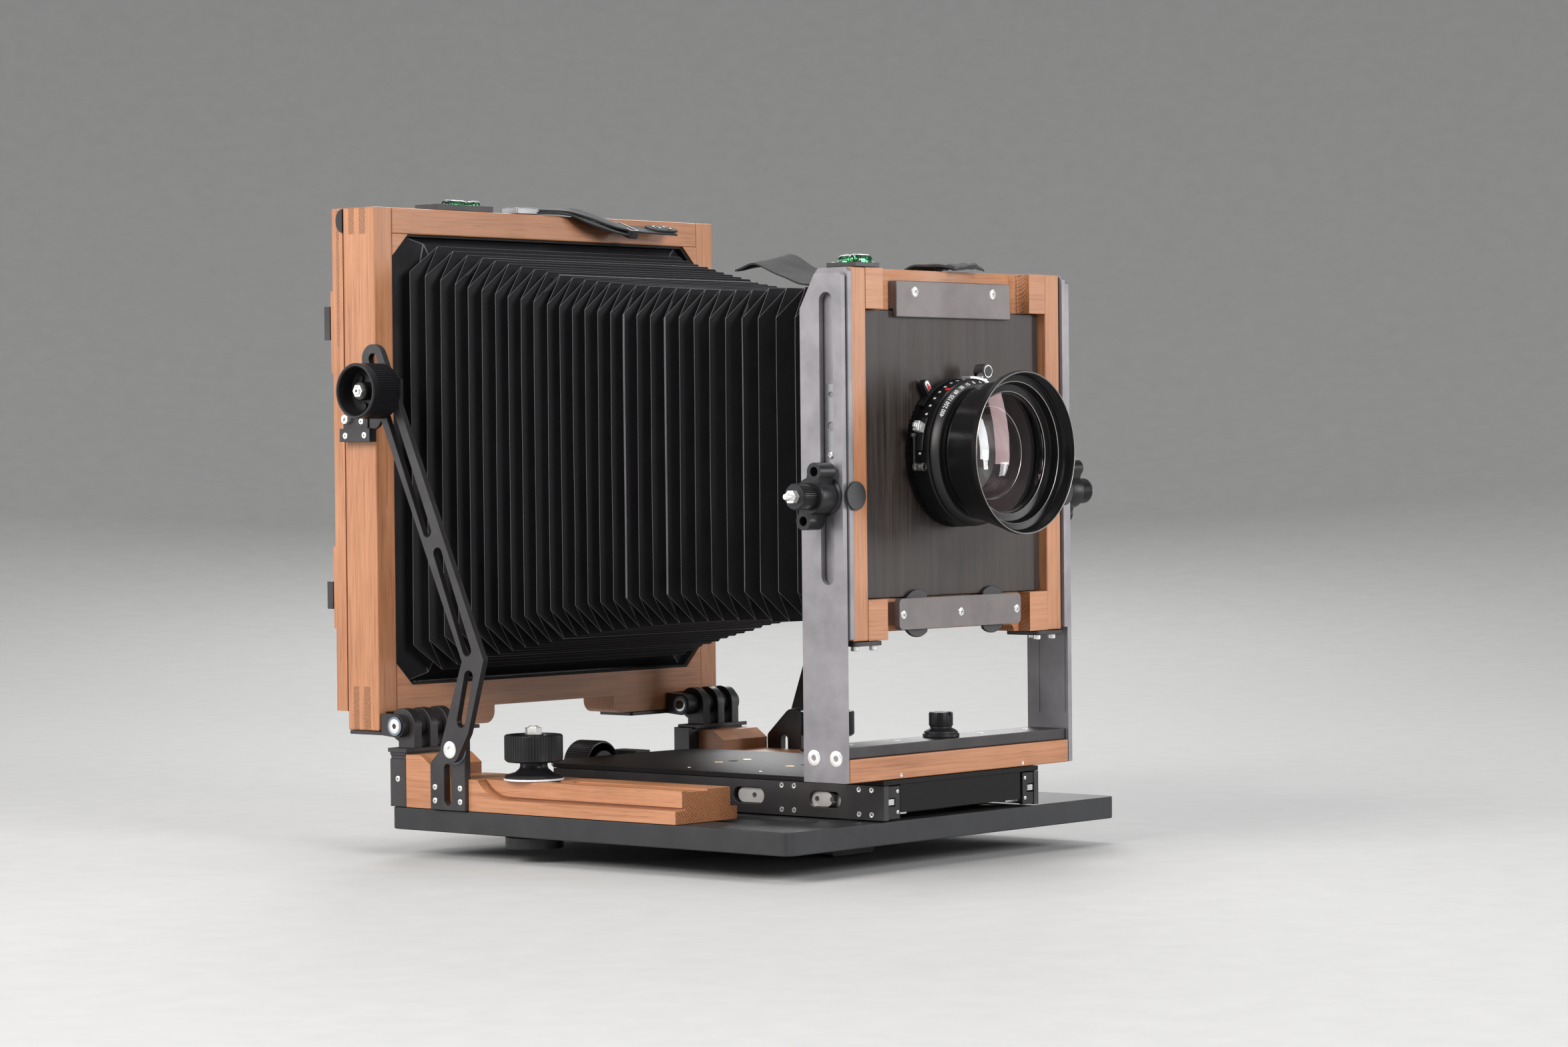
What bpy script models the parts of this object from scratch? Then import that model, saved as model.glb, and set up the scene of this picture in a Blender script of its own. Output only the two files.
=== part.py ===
"""Large-format wooden field camera, as an assembly of separate pieces.

The camera looks along -Y, +X is its left-to-right axis and +Z is up.  The origin is the
centre of the tripod plate's resting face.  The dimensions below are in millimetres, and
the drawing helpers turn them into metres.
"""

import math

import bmesh
import bpy
from mathutils import Vector

MM = 0.001
GAP = 0.3                       # clearance between pieces that touch
SIDES = (("left", -1), ("right", 1))

# Base plate and tripod plate
BASE_HALF_WIDTH = 150.0
BASE_FRONT = -145.2
BASE_REAR = 164.7
BASE_LOW = 14.8
BASE_TOP = 27.8
BASE_CORNER = 6.0
TRIPOD_HALF = (19.0, 66.0)
STUD_HOLE = 4.4                 # half-width of the clamp studs' holes and slots

# Rear carriage: wooden rails, hinge blocks and strut posts
RAIL_LOW = BASE_TOP + GAP
RAIL_TOP = 46.5
RAIL_FRONT = -62.6
RAIL_BLOCK_FRONT = 130.0
RAIL_BLOCK_TOP = 59.0
RAIL_REAR = 150.9
RAIL_KNOB = (131.6, 64.1)
RAIL_KNOB_RADIUS = 17.0
RAIL_LEDGE_END = 97.0
POST_X = (147.7, 152.7)
POST_Y = (99.5, 127.9)
STRUT_PIVOT = (106.8, 63.9)
HINGE_AXIS = (159.6, 75.3)
HINGE_BOLT = 2.8
HINGE_HOLE = 3.1
POST_STRETCHES = ((110.8, 117.2), (124.8, 131.0), (138.2, 144.5))
LUG_STRETCHES = ((101.0, 110.4), (117.6, 124.4), (131.4, 137.8), (144.9, 149.5))

# Rear standard
FRAME_HALF_WIDTH = 150.4
FRAME_Y = (173.0, 199.0)
FRAME_Z = (72.0, 382.0)
FRAME_OPENING = (135.0, 98.0, 366.5)
FRAME_CHAMFER = 13.0
FRAME_FOOT = 10.7               # how far the hinge recesses and the middle are raised
TILT_STUD = (159.4, 272.7)
STRUT_X = (153.3, 157.3)
STRUT_TOP = (168.0, 291.7)
STRUT_END_RADII = (8.75, 7.8)
STRUT_SLOTS = (((167.6, 291.7), (123.7, 190.5)), ((115.2, 177.7), (92.1, 121.9)),
               ((90.9, 106.9), (97.5, 80.5)))
TILT_KNOB_RADIUS = 16.25
TILT_KNOB_END = 180.0
BACK_Y = (200.0, 209.0)
BACK_Z = (83.0, 382.0)
BACK_OPENING = (100.0, 106.0, 359.0)
BACK_PADS = ((132.0, 181.0), (284.0, 333.0))
GLASS_OPENING = (96.5, 109.0, 355.0)
SPRING_X = (112.5, 121.0)
SPRING_Z = (143.6, 324.0)

# Focusing bed
BED_HALF_WIDTH = 70.8
BED_FRONT = -147.6
BED_REAR = 113.0
BED_SIDE_Z = (28.7, 48.0)
BED_TOP_Z = (48.3, 51.0)
BED_CORE = (45.0, 45.0)         # half-width and top of the fixed track
SCREW_CHANNEL = (6.0, 38.0)     # half-width and floor of the lead screw's channel
SCREW_AXIS_Z = 44.2
FOCUS_KNOB_RADIUS = 15.0
FOCUS_KNOB_Y = (133.0, 153.0)

# Front standard
STANDARD_Y = (-147.6, -118.0)
SWING_AXIS_Y = -132.0
CROSSBAR_Z = (51.4, 64.5)
CROSSPLATE_Z = (64.8, 71.0)
UPRIGHT_X = (100.4, 104.0)
UPRIGHT_TOP = 333.0
RISER_X = (96.0, 99.6)
RISER_Z = (130.6, 336.0)
TILT_AXIS = (-136.4, 210.0)
UPRIGHT_SLOT = (165.8, 317.7, 4.8)
WING_LOBES = (4.0, 13.6, 4.8)   # offsets of each lobe's centre, and its radius
FRONT_HALF_WIDTH = 95.0
FRONT_Y = (-147.0, -125.0)
FRONT_Z = (129.4, 336.3)
FRONT_OPENING = (82.0, 152.2, 313.5)
REBATE_OPENING = (74.0, 160.0, 306.0)
PLATE_RECESS = (65.0, 8.6)      # half-width and depth of the recesses for the lock plates
CAM_CENTRE = (34.0, 143.1)
CAM_RADIUS = 13.5
CAM_SHAFT = 2.5
BOARD_HALF = 81.6
BOARD_Y = (-141.2, -137.5)

# Lens
LENS_Z = 233.0
BOARD_HOLE = 27.0
SHUTTER_RADIUS = 41.5
LEVER_ARM_Y = (-157.0, -150.0)
LENS_RIM_RADIUS = 46.0
LENS_RIM_Y = -195.0
FRONT_GLASS = 33.5              # radius of the front element

# Bellows
PLEATS = 28
PLEAT_SPREAD = 0.45             # how much wider the pleats get towards the front
BELLOWS_Y = (167.5, -119.0)
BELLOWS_FRONT = (92.0, 93.5)    # half-width and half-height at the front mountains
BELLOWS_FLARE = (34.5, 34.5)    # what the rear mountains have more
PLEAT_DEPTH = 12.0
PLEAT_CORNER = 17.0             # how far the chamfer between two mountains reaches
VALLEY_CORNER = 20.0
BELLOWS_WALL = 2.2


# --------------------------------------------------------------- drawing helpers

def clear_scene():
    for obj in list(bpy.data.objects):
        bpy.data.objects.remove(obj, do_unlink=True)


def make_material(name, colour, roughness, metallic=0.0):
    material = bpy.data.materials.new(name)
    material.use_nodes = True
    shader = material.node_tree.nodes["Principled BSDF"]
    shader.inputs["Base Color"].default_value = (*colour, 1.0)
    shader.inputs["Roughness"].default_value = roughness
    shader.inputs["Metallic"].default_value = metallic
    return material


def make_body(name, place, parent=None):
    """An empty on the joint's axis; every piece of one moving body hangs from it."""
    empty = bpy.data.objects.new(name + "_axis", None)
    bpy.context.collection.objects.link(empty)
    empty.location = Vector(place) * MM
    if parent:
        empty.parent = BODIES[parent]
        empty.matrix_parent_inverse = world_matrix(BODIES[parent]).inverted()
    BODIES[name] = empty
    return empty


def world_matrix(obj):
    bpy.context.view_layer.update()
    return obj.matrix_world.copy()


def add_piece(name, body, mesh_data, material=None):
    """Link a bmesh drawn in world millimetres under the empty of its body."""
    parent = BODIES[body]
    anchor = world_matrix(parent).translation
    for vertex in mesh_data.verts:
        vertex.co = vertex.co * MM - anchor
    bmesh.ops.recalc_face_normals(mesh_data, faces=mesh_data.faces)
    mesh = bpy.data.meshes.new(name)
    mesh_data.to_mesh(mesh)
    mesh_data.free()
    piece = bpy.data.objects.new(name, mesh)
    bpy.context.collection.objects.link(piece)
    piece.parent = parent
    if material:
        mesh.materials.append(material)
        mesh.shade_smooth()
        mesh.set_sharp_from_angle(angle=math.radians(35))
    return piece


def place_on_axis(axis, a, b, along):
    """A point from its two outline coordinates and its place along the axis."""
    return {"x": (along, a, b), "y": (a, along, b), "z": (a, b, along)}[axis]


def prism(axis, outline, low, high):
    """Extrude an outline along an axis; the outline lists the two other coordinates."""
    shape = bmesh.new()
    start = [shape.verts.new(place_on_axis(axis, a, b, low)) for a, b in outline]
    face = shape.faces.new(start)
    step = Vector(place_on_axis(axis, 0, 0, high - low))
    swept = bmesh.ops.extrude_face_region(shape, geom=[face])
    moved = [item for item in swept["geom"] if isinstance(item, bmesh.types.BMVert)]
    bmesh.ops.translate(shape, verts=moved, vec=step)
    return shape


def block(x, y, z):
    return prism("z", [(x[0], y[0]), (x[1], y[0]), (x[1], y[1]), (x[0], y[1])], *z)


def turned(axis, centre, profile, segments=20):
    """Turn a closed profile of (radius, place along the axis) about an axis."""
    shape = bmesh.new()
    rings = []
    for radius, along in profile:
        count = segments if radius > 0 else 1
        ring = []
        for index in range(count):
            angle = math.tau * index / segments
            a = centre[0] + radius * math.cos(angle)
            b = centre[1] + radius * math.sin(angle)
            ring.append(shape.verts.new(place_on_axis(axis, a, b, along)))
        rings.append(ring)
    for ring, following in zip(rings, rings[1:] + rings[:1]):
        if len(ring) == 1 and len(following) == 1:
            continue
        for index in range(segments):
            corner = [ring[index % len(ring)], ring[(index + 1) % segments % len(ring)],
                      following[(index + 1) % segments % len(following)],
                      following[index % len(following)]]
            shape.faces.new(list(dict.fromkeys(corner)))
    return shape


def rod(axis, centre, radius, low, high, segments=12):
    return turned(axis, centre, [(0, low), (radius, low), (radius, high), (0, high)], segments)


def arc(centre, radius, start, end, steps=4):
    """Points on a round stretch, from one angle to another in degrees."""
    points = []
    for index in range(steps + 1):
        angle = math.radians(start + (end - start) * index / steps)
        points.append((centre[0] + radius * math.cos(angle),
                       centre[1] + radius * math.sin(angle)))
    return points


def slot_outline(first, last, radius, steps=4):
    """A slot with round ends between two centres."""
    heading = math.degrees(math.atan2(last[1] - first[1], last[0] - first[0]))
    return (arc(last, radius, heading - 90, heading + 90, steps)
            + arc(first, radius, heading + 90, heading + 270, steps))


def rounded_rectangle(x, y, radius, steps=4):
    corners = ((x[1], y[1], 0), (x[0], y[1], 90), (x[0], y[0], 180), (x[1], y[0], 270))
    points = []
    for corner_x, corner_y, start in corners:
        inward_x = -radius if corner_x == x[1] else radius
        inward_y = -radius if corner_y == y[1] else radius
        points += arc((corner_x + inward_x, corner_y + inward_y), radius, start, start + 90, steps)
    return points


def spread(side, low, high):
    """The stretch of x between two distances from the centre plane, on one side."""
    return (low, high) if side > 0 else (-high, -low)


def combine(piece, operation, *shapes):
    """Cut shapes from a piece, or join them to it, with Boolean modifiers."""
    for index, shape in enumerate(shapes):
        tool = add_piece(f"{piece.name}_{operation.lower()}_{index}",
                         piece.parent.name.removesuffix("_axis"), shape)
        tool.hide_render = True
        tool.display_type = "WIRE"
        modifier = piece.modifiers.new(tool.name, "BOOLEAN")
        modifier.operation = operation
        modifier.solver = "EXACT"
        modifier.object = tool
    return piece


def cut(piece, *shapes):
    return combine(piece, "DIFFERENCE", *shapes)


def join(piece, *shapes):
    return combine(piece, "UNION", *shapes)


# --------------------------------------------------------------- base

def build_base():
    plate = add_piece("base_plate", "base", prism(
        "z", rounded_rectangle((-BASE_HALF_WIDTH, BASE_HALF_WIDTH), (BASE_FRONT, BASE_REAR),
                               BASE_CORNER), BASE_LOW, BASE_TOP), BLACK_PLATE)
    for _, side in SIDES:
        stud = (side * RAIL_KNOB[0], RAIL_KNOB[1])
        grip = slot_outline((side * 98, -60), (side * 98, -96), 20, 8)
        cut(plate, rod("z", stud, STUD_HOLE, BASE_LOW - 2, BASE_TOP + 2),
            prism("z", grip, BASE_TOP - 1.5, BASE_TOP + 2))
    build_tripod_plate()
    build_bed_core()


def build_tripod_plate():
    half, length = TRIPOD_HALF
    high = BASE_LOW - GAP
    edge = [(half - 1.5, 0), (half, 1.5), (half, 3.5), (half - 3.2, 6.7), (half - 3.2, 9),
            (half, 11.5), (half, high)]
    outline = edge + [(-x, z) for x, z in reversed(edge)]
    add_piece("tripod_plate", "base", prism("y", outline, -length, length), BLACK_METAL)


def build_bed_core():
    """The fixed track under the sliding bed, with the lead screw's channel and bearing."""
    half, top = BED_CORE
    channel, floor = SCREW_CHANNEL
    outline = [(-half, RAIL_LOW), (half, RAIL_LOW), (half, top), (channel, top),
               (channel, floor), (-channel, floor), (-channel, top), (-half, top)]
    core = add_piece("bed_core", "base", prism("y", outline, -118, 131), BLACK_METAL)
    join(core, block((-channel - 1, channel + 1), (117, 130.5), (37, 47.7)),
         block((21, 34), (125, 147), (RAIL_LOW + 0.2, 52)))
    cut(core, rod("y", (0, SCREW_AXIS_Z), 3.3, 110, 135))
    for name, side in SIDES:
        wing = spread(side, half + GAP, 60)
        ear = spread(side, 57, 63)
        slide = add_piece(f"slide_{name}", "base", block(wing, (-143, 104), (31, top)), STEEL)
        join(slide, block(ear, (-143.5, 104.5), (34.5, 41.5)))


# --------------------------------------------------------------- rear carriage

def rail_outline(side):
    """Rail section: a ledge along the outer foot and a tongue along the inner one."""
    half = [(98, RAIL_LOW), (150, RAIL_LOW), (150, 35.5), (144.3, 35.5), (144.3, RAIL_TOP),
            (103.8, RAIL_TOP), (103.8, 35.3), (98, 35.3)]
    return [(side * x, z) for x, z in half]


def build_rail(name, side):
    rail = add_piece(f"rail_{name}", "rear_carriage",
                     prism("y", rail_outline(side), RAIL_FRONT, RAIL_LEDGE_END), WOOD)
    shoulder = block(spread(side, 98, 150), (RAIL_LEDGE_END - 1, RAIL_BLOCK_FRONT + 1),
                     (RAIL_LOW, RAIL_TOP))
    raised = [(RAIL_BLOCK_FRONT, RAIL_LOW), (RAIL_REAR, RAIL_LOW), (RAIL_REAR, RAIL_BLOCK_TOP),
              (RAIL_BLOCK_FRONT + 8.4, RAIL_BLOCK_TOP), (RAIL_BLOCK_FRONT, 53.3)]
    join(rail, shoulder, prism("x", raised, *spread(side, 108, 150)))
    slot = slot_outline((side * RAIL_KNOB[0], RAIL_KNOB[1]), (side * RAIL_KNOB[0], -50),
                        STUD_HOLE)
    cut(rail, prism("z", slot, RAIL_LOW - 2, RAIL_TOP + 2),
        block(spread(side, POST_X[0] - GAP, 152), (POST_Y[0] - GAP, POST_Y[1] + GAP),
              (RAIL_LOW - 2, RAIL_BLOCK_TOP + 2)))


def build_hinge_block(name, side):
    """Metal block behind the rail, with three comb posts that carry the hinge bolt."""
    face = spread(side, 99.3, 150)
    hinge = add_piece(f"hinge_block_{name}", "rear_carriage",
                      block(face, (151.2, 164.2), (RAIL_LOW, 61)), BLACK_METAL)
    radius = 10.4
    profile = ([(162.1, 60.4), (162.1, 68)]
               + arc(HINGE_AXIS, radius, -35, 180, 8)
               + [(HINGE_AXIS[0] - radius, 60.4)])
    cap = block(spread(side, 103, 152), (148.5, 164.2), (60.2, 62.6))
    posts = [prism("x", profile, *spread(side, *stretch)) for stretch in POST_STRETCHES]
    join(hinge, cap, *posts)
    cut(hinge, rod("x", HINGE_AXIS, HINGE_HOLE, *spread(side, 96, 156)))


def build_strut_post(name, side):
    outline = ([(POST_Y[0], RAIL_LOW), (POST_Y[1], RAIL_LOW), (POST_Y[1], 53.1)]
               + arc(STRUT_PIVOT, 8, 40, 110, 4) + [(POST_Y[0], 69.5)])
    post = add_piece(f"strut_post_{name}", "rear_carriage",
                     prism("x", outline, *spread(side, *POST_X)), BLACK_METAL)
    stud = rod("x", STRUT_PIVOT, 4.4, *spread(side, POST_X[1] - 1, STRUT_X[1] + 0.1))
    join(post, stud)
    cut(post, prism("x", slot_outline((110.65, 33.9), (110.65, 52.2), 2.85),
                    *spread(side, POST_X[0] - 2, POST_X[1] + 2)))


def build_rail_knob(name, side):
    """Clamp knob above the rail, its stud through rail and base, and the disc below."""
    axis = (side * RAIL_KNOB[0], RAIL_KNOB[1])
    above, below, wide = RAIL_TOP + GAP, BASE_LOW - GAP, RAIL_KNOB_RADIUS
    profile = [(0, 7.5), (wide, 7.5), (wide, below), (4, below), (4, above), (wide, above),
               (wide, above + 1.6), (8, above + 5.5), (8, 56.5), (wide, 57.5), (wide, 73),
               (4.6, 73), (4.6, 77), (3, 78.2), (0, 78.2)]
    body = f"rail_knob_{name}"
    add_piece(body, body, turned("z", axis, profile), BLACK_METAL)


def build_rear_carriage():
    for name, side in SIDES:
        build_rail(name, side)
        build_hinge_block(name, side)
        build_strut_post(name, side)
        build_rail_knob(name, side)


# --------------------------------------------------------------- rear standard

def rear_frame_outline():
    """Frame outline with raised underside, rounded feet blocks and hinge recesses."""
    low, raised = FRAME_Z[0], FRAME_Z[0] + FRAME_FOOT
    half = [(53, raised), (54.5, low + 3), (59, low), (110, low), (110, raised), (144, raised),
            (144, low), (FRAME_HALF_WIDTH, low), (FRAME_HALF_WIDTH, FRAME_Z[1])]
    return half + [(-x, z) for x, z in reversed(half)]


def octagon(half_width, low, high, chamfer):
    half = [(half_width - chamfer, low), (half_width, low + chamfer),
            (half_width, high - chamfer), (half_width - chamfer, high)]
    return half + [(-x, z) for x, z in reversed(half)]


def build_rear_frame():
    frame = add_piece("rear_frame", "rear_standard",
                      prism("y", rear_frame_outline(), *FRAME_Y), WOOD)
    cut(frame, prism("y", octagon(*FRAME_OPENING, FRAME_CHAMFER),
                     FRAME_Y[0] - 2, FRAME_Y[1] + 2))


def build_hinge_leaf(name, side):
    """Leaf under the frame: thin plate, thick block in the recess, lugs and the bolt."""
    low, axis_y = FRAME_Z[0] - 2.4, HINGE_AXIS[0]
    leaf = add_piece(f"hinge_leaf_{name}", "rear_standard",
                     block(spread(side, 67, 150), (171, 199), (low, FRAME_Z[0] - GAP)), BLACK_METAL)
    top = FRAME_Z[0] + FRAME_FOOT - GAP
    thick = block(spread(side, 110.4, 143.6), (171.2, 198.6), (low + 0.2, top))
    lug_radius = 6.7
    profile = ([(171.8, low), (171.8, top)]
               + arc(HINGE_AXIS, lug_radius, 90, 270, 6)
               + [(axis_y, HINGE_AXIS[1] - lug_radius)])
    lugs = [prism("x", profile, *spread(side, *stretch)) for stretch in LUG_STRETCHES]
    bolt = rod("x", HINGE_AXIS, HINGE_BOLT, *spread(side, 98, 151))
    join(leaf, thick, *lugs, bolt)


def build_tilt_bracket(name, side):
    """Side bracket on the frame that carries the stud of the tilt knob."""
    outline = [(172, 243), (197.4, 243), (197.4, 251), (190, 255), (177, 262), (168.5, 279.8),
               (149, 279.8), (149, 266), (160, 263), (168, 252), (172, 250)]
    bracket = add_piece(f"tilt_bracket_{name}", "rear_standard",
                        prism("x", outline, *spread(side, FRAME_HALF_WIDTH + GAP, 153)), BLACK_METAL)
    join(bracket, rod("x", TILT_STUD, 2.2, *spread(side, 152.5, 179)))


def build_tilt_knob(name, side):
    """Cup-shaped knob; its web turns on the bracket's stud."""
    inner, outer, wide = STRUT_X[1] + GAP + 0.2, TILT_KNOB_END, TILT_KNOB_RADIUS
    profile = [(2.6, inner), (wide, inner), (wide, outer), (14, outer),
               (13.5, outer - 12), (5.5, outer - 12), (5, outer - 4), (2.6, outer - 4)]
    body = f"tilt_knob_{name}"
    add_piece(body, body, turned("x", TILT_STUD, [(r, side * x) for r, x in profile]), BLACK_METAL)


def build_strut(name, side):
    """Slotted bent stay from the post's pivot to the tilt knob's stud."""
    knee_in, knee_out = (96.3, 115.3), (78.7, 116.4)
    outline = (arc(STRUT_TOP, STRUT_END_RADII[0], -23.5, 156.5, 8) + [knee_out, (91.8, 73.7)]
               + arc(STRUT_PIVOT, STRUT_END_RADII[1], -140, 15, 7) + [knee_in])
    body = f"strut_{name}"
    stretch = spread(side, *STRUT_X)
    strut = add_piece(body, body, prism("x", outline, *stretch), BLACK_METAL)
    through = (stretch[0] - 2, stretch[1] + 2)
    cut(strut, rod("x", STRUT_PIVOT, 4.75, *through),
        *[prism("x", slot_outline(*ends, 3.5), *through) for ends in STRUT_SLOTS])


def build_rear_level():
    add_piece("rear_level", "rear_standard",
              block((-93.6, -45.4), (177, 196), (FRAME_Z[1] + GAP, FRAME_Z[1] + 4)), BLACK_METAL)


def ribbon(stations, width, thickness):
    """A band lofted through (centre, lean) stations; lean turns its width towards -Z."""
    shape = bmesh.new()
    rings = []
    for centre, lean, axis in stations:
        angle = math.radians(lean)
        flat = Vector((0, 1, 0)) if axis == "y" else Vector((1, 0, 0))
        across = flat * math.cos(angle) + Vector((0, 0, 1)) * math.sin(angle)
        normal = Vector((0, 0, 1)) * math.cos(angle) - flat * math.sin(angle)
        middle = Vector(centre)
        ring = [middle + across * (width / 2 * a) + normal * (thickness / 2 * b)
                for a, b in ((1, 1), (-1, 1), (-1, -1), (1, -1))]
        rings.append([shape.verts.new(point) for point in ring])
    for ring, following in zip(rings, rings[1:]):
        for index in range(4):
            after = (index + 1) % 4
            shape.faces.new((ring[index], ring[after], following[after], following[index]))
    shape.faces.new(rings[0])
    shape.faces.new(rings[-1])
    return shape


def build_handle_strap():
    """Strap fixed on top of the rear frame; its loose end leans over the front edge."""
    stations = [((-27, 182, 384.1), 0, "y"), ((-5, 182, 384.1), 0, "y"),
                ((12, 178, 385.3), 10, "y"), ((26, 170, 384.4), 28, "y"),
                ((40, 164.6, 378.4), 28, "y"), ((54, 163.3, 375.4), 22, "y"),
                ((76, 163.3, 374.2), 19, "y"), ((100, 163.5, 374.2), 18, "y")]
    add_piece("handle_strap", "rear_standard", ribbon(stations, 15, 3), STRAP)


def build_rear_standard():
    build_rear_frame()
    build_rear_level()
    build_handle_strap()
    for name, side in SIDES:
        build_hinge_leaf(name, side)
        build_tilt_bracket(name, side)
        build_tilt_knob(name, side)
        build_strut(name, side)


# --------------------------------------------------------------- reversible back

def build_back():
    low, high = BACK_Y
    back = add_piece("back_frame", "back", prism("y", octagon(150, *BACK_Z, 0.8), low, high), WOOD)
    for _, side in SIDES:
        for pad in BACK_PADS:
            join(back, block(spread(side, 128, 149.7), (high - 1, high + 2), pad))
    half, *opening = BACK_OPENING
    cut(back, block((-half, half), (low - 2, high + 4), opening))
    build_glass_holder()


def build_glass_holder():
    """Sprung frame that holds the ground glass at the film plane."""
    rear = BACK_Y[1]
    width, low, high = GLASS_OPENING
    holder = add_piece("glass_frame", "glass_holder",
                       block((-124, 124), (rear + GAP, rear + 1.9), (94, 370)), WOOD)
    join(holder, block((-110, 110), (rear + 0.5, rear + 10), (98, 366)))
    cut(holder, block((-width, width), (rear - 2, rear + 12), (low, high)),
        block((-103.2, 103.2), (rear - 2, rear + 3.8), (102.4, 361.6)))
    add_piece("ground_glass", "glass_holder",
              block((-102.8, 102.8), (rear + 0.5, rear + 3.5), (102.8, 361.2)), GLASS)
    for name, side in SIDES:
        bar = block(spread(side, *SPRING_X), (rear + 2.3, rear + 4.3), SPRING_Z)
        spring = add_piece(f"back_spring_{name}", "glass_holder", bar, BLACK_METAL)
        for arm in ((304, 323.9), (143.7, 160)):
            join(spring, block(spread(side, 113, 150), (rear + 2.4, rear + 4.2), arm),
                 block(spread(side, 146, 150.3), (rear + 2.3, rear + 7), arm))


# --------------------------------------------------------------- bellows

def pleat_half_sizes(share):
    """Half-width and half-height at the mountains, from the rear (0) to the front (1)."""
    flare = (1 - share) ** 2.6
    return [front + more * flare for front, more in zip(BELLOWS_FRONT, BELLOWS_FLARE)]


def bellows_stations():
    """Ring sizes along Y: side mountains alternate with top mountains."""
    stations = []
    rear, front = BELLOWS_Y
    count = 2 * PLEATS
    for index in range(count + 1):
        share = index / count
        share -= PLEAT_SPREAD * share ** 2 * (1 - share)
        width, height = pleat_half_sizes(share)
        y = rear + (front - rear) * share
        if index % 2:
            ring = [(width - PLEAT_DEPTH, height - VALLEY_CORNER), (width - PLEAT_CORNER, height)]
        else:
            ring = [(width, height - PLEAT_CORNER), (width - VALLEY_CORNER, height - PLEAT_DEPTH)]
        stations.append((y, ring))
    return stations


def octagon_ring(shape, y, ring, inset):
    corners = [(width - inset, height - inset) for width, height in ring]
    quarter = corners + [(-x, z) for x, z in reversed(corners)]
    outline = quarter + [(-x, -z) for x, z in quarter]
    return [shape.verts.new((x, y, LENS_Z + z)) for x, z in outline]


def build_bellows():
    """Hollow pleated tube from a flange inside the rear frame to the front frame."""
    flange = [(180.0, [(134.5, 121), (121.5, 133.3)]), (178.0, [(116, 98), (98, 116)])]
    close = [(FRONT_Y[1] + 1.2, [(84, 68), (72, 82)]), (FRONT_Y[1] + 0.4, [(90, 89), (89, 90)])]
    stations = flange + bellows_stations() + close
    shape = bmesh.new()
    outer = [octagon_ring(shape, y, ring, 0) for y, ring in stations]
    inner = [octagon_ring(shape, y, ring, BELLOWS_WALL) for y, ring in stations]
    for shell in (outer, inner):
        for ring, following in zip(shell, shell[1:]):
            bridge(shape, ring, following)
    bridge(shape, outer[0], inner[0])
    bridge(shape, outer[-1], inner[-1])
    bmesh.ops.triangulate(shape, faces=shape.faces)
    add_piece("bellows", "rear_standard", shape, BELLOWS_CLOTH)


def bridge(shape, ring, following):
    count = len(ring)
    for index in range(count):
        after = (index + 1) % count
        shape.faces.new((ring[index], ring[after], following[after], following[index]))


# --------------------------------------------------------------- focusing bed

def build_bed():
    for name, side in SIDES:
        build_bed_side(name, side)
    rear = BED_REAR
    outline = [(-BED_HALF_WIDTH, BED_FRONT + 0.2), (BED_HALF_WIDTH, BED_FRONT + 0.2),
               (BED_HALF_WIDTH, rear - 6), (58, rear + 8), (26, rear + 10), (-26, rear + 10),
               (-58, rear + 8), (-BED_HALF_WIDTH, rear - 6)]
    top = add_piece("bed_top_plate", "bed", prism("z", outline, *BED_TOP_Z), BLACK_METAL)
    join(top, block((-55, 55), (-146.4, -143.6), (32.5, 48.6)))
    cut(top, *[rod("z", (0, y), 3.2, BED_TOP_Z[0] - 1, BED_TOP_Z[1] + 1, 12)
               for y in (SWING_AXIS_Y, -30, 27)])


def build_bed_side(name, side):
    stretch = spread(side, 66.6, BED_HALF_WIDTH)
    plate = add_piece(f"bed_side_{name}", "bed",
                      block(stretch, (BED_FRONT, BED_REAR - 6), BED_SIDE_Z), BLACK_METAL)
    through = (stretch[0] - 2, stretch[1] + 2)
    windows = [slot_outline((y, 38.8), (y - 14, 38.8), 4.6) for y in (-97.5, -40.5, 84)]
    cut(plate, *[prism("x", window, *through) for window in windows])


def build_focus_drive():
    """Cup-shaped focus knob at the rear, on the lead screw that draws the bed."""
    axis = (0, SCREW_AXIS_Z)
    front, rear = FOCUS_KNOB_Y
    profile = [(0, rear), (FOCUS_KNOB_RADIUS, rear), (FOCUS_KNOB_RADIUS, front), (12.6, front),
               (12.3, rear - 7), (3.5, rear - 7), (3.5, rear - 12.7), (0, rear - 12.7)]
    add_piece("focus_knob", "focus_knob", turned("y", axis, profile), BLACK_METAL)
    add_piece("lead_screw", "focus_knob", rod("y", axis, 2.9, -110, 140, 16), STEEL)


# --------------------------------------------------------------- front standard

def build_front_standard():
    wood = add_piece("crossbar_wood", "front_standard",
                     block((-100, 100), STANDARD_Y, CROSSBAR_Z), WOOD)
    plate = add_piece("crossbar_plate", "front_standard",
                      block((-100, 100), (STANDARD_Y[0] + 2, STANDARD_Y[1]), CROSSPLATE_Z),
                      BLACK_METAL)
    for bar in (wood, plate):
        cut(bar, rod("z", (0, SWING_AXIS_Y), 3.4, CROSSBAR_Z[0] - 2, CROSSPLATE_Z[1] + 2, 16))
    for name, side in SIDES:
        build_upright(name, side)
        build_riser_plate(name, side)
        build_wing_knob(name, side)
    profile = [(0, 48.5), (2.9, 48.5), (2.9, 71.3), (10.5, 71.3), (10.5, 74), (7, 75.5),
               (7, 85.6), (0, 85.6)]
    add_piece("swing_knob", "swing_knob", turned("z", (0, SWING_AXIS_Y), profile), BLACK_METAL)


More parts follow.
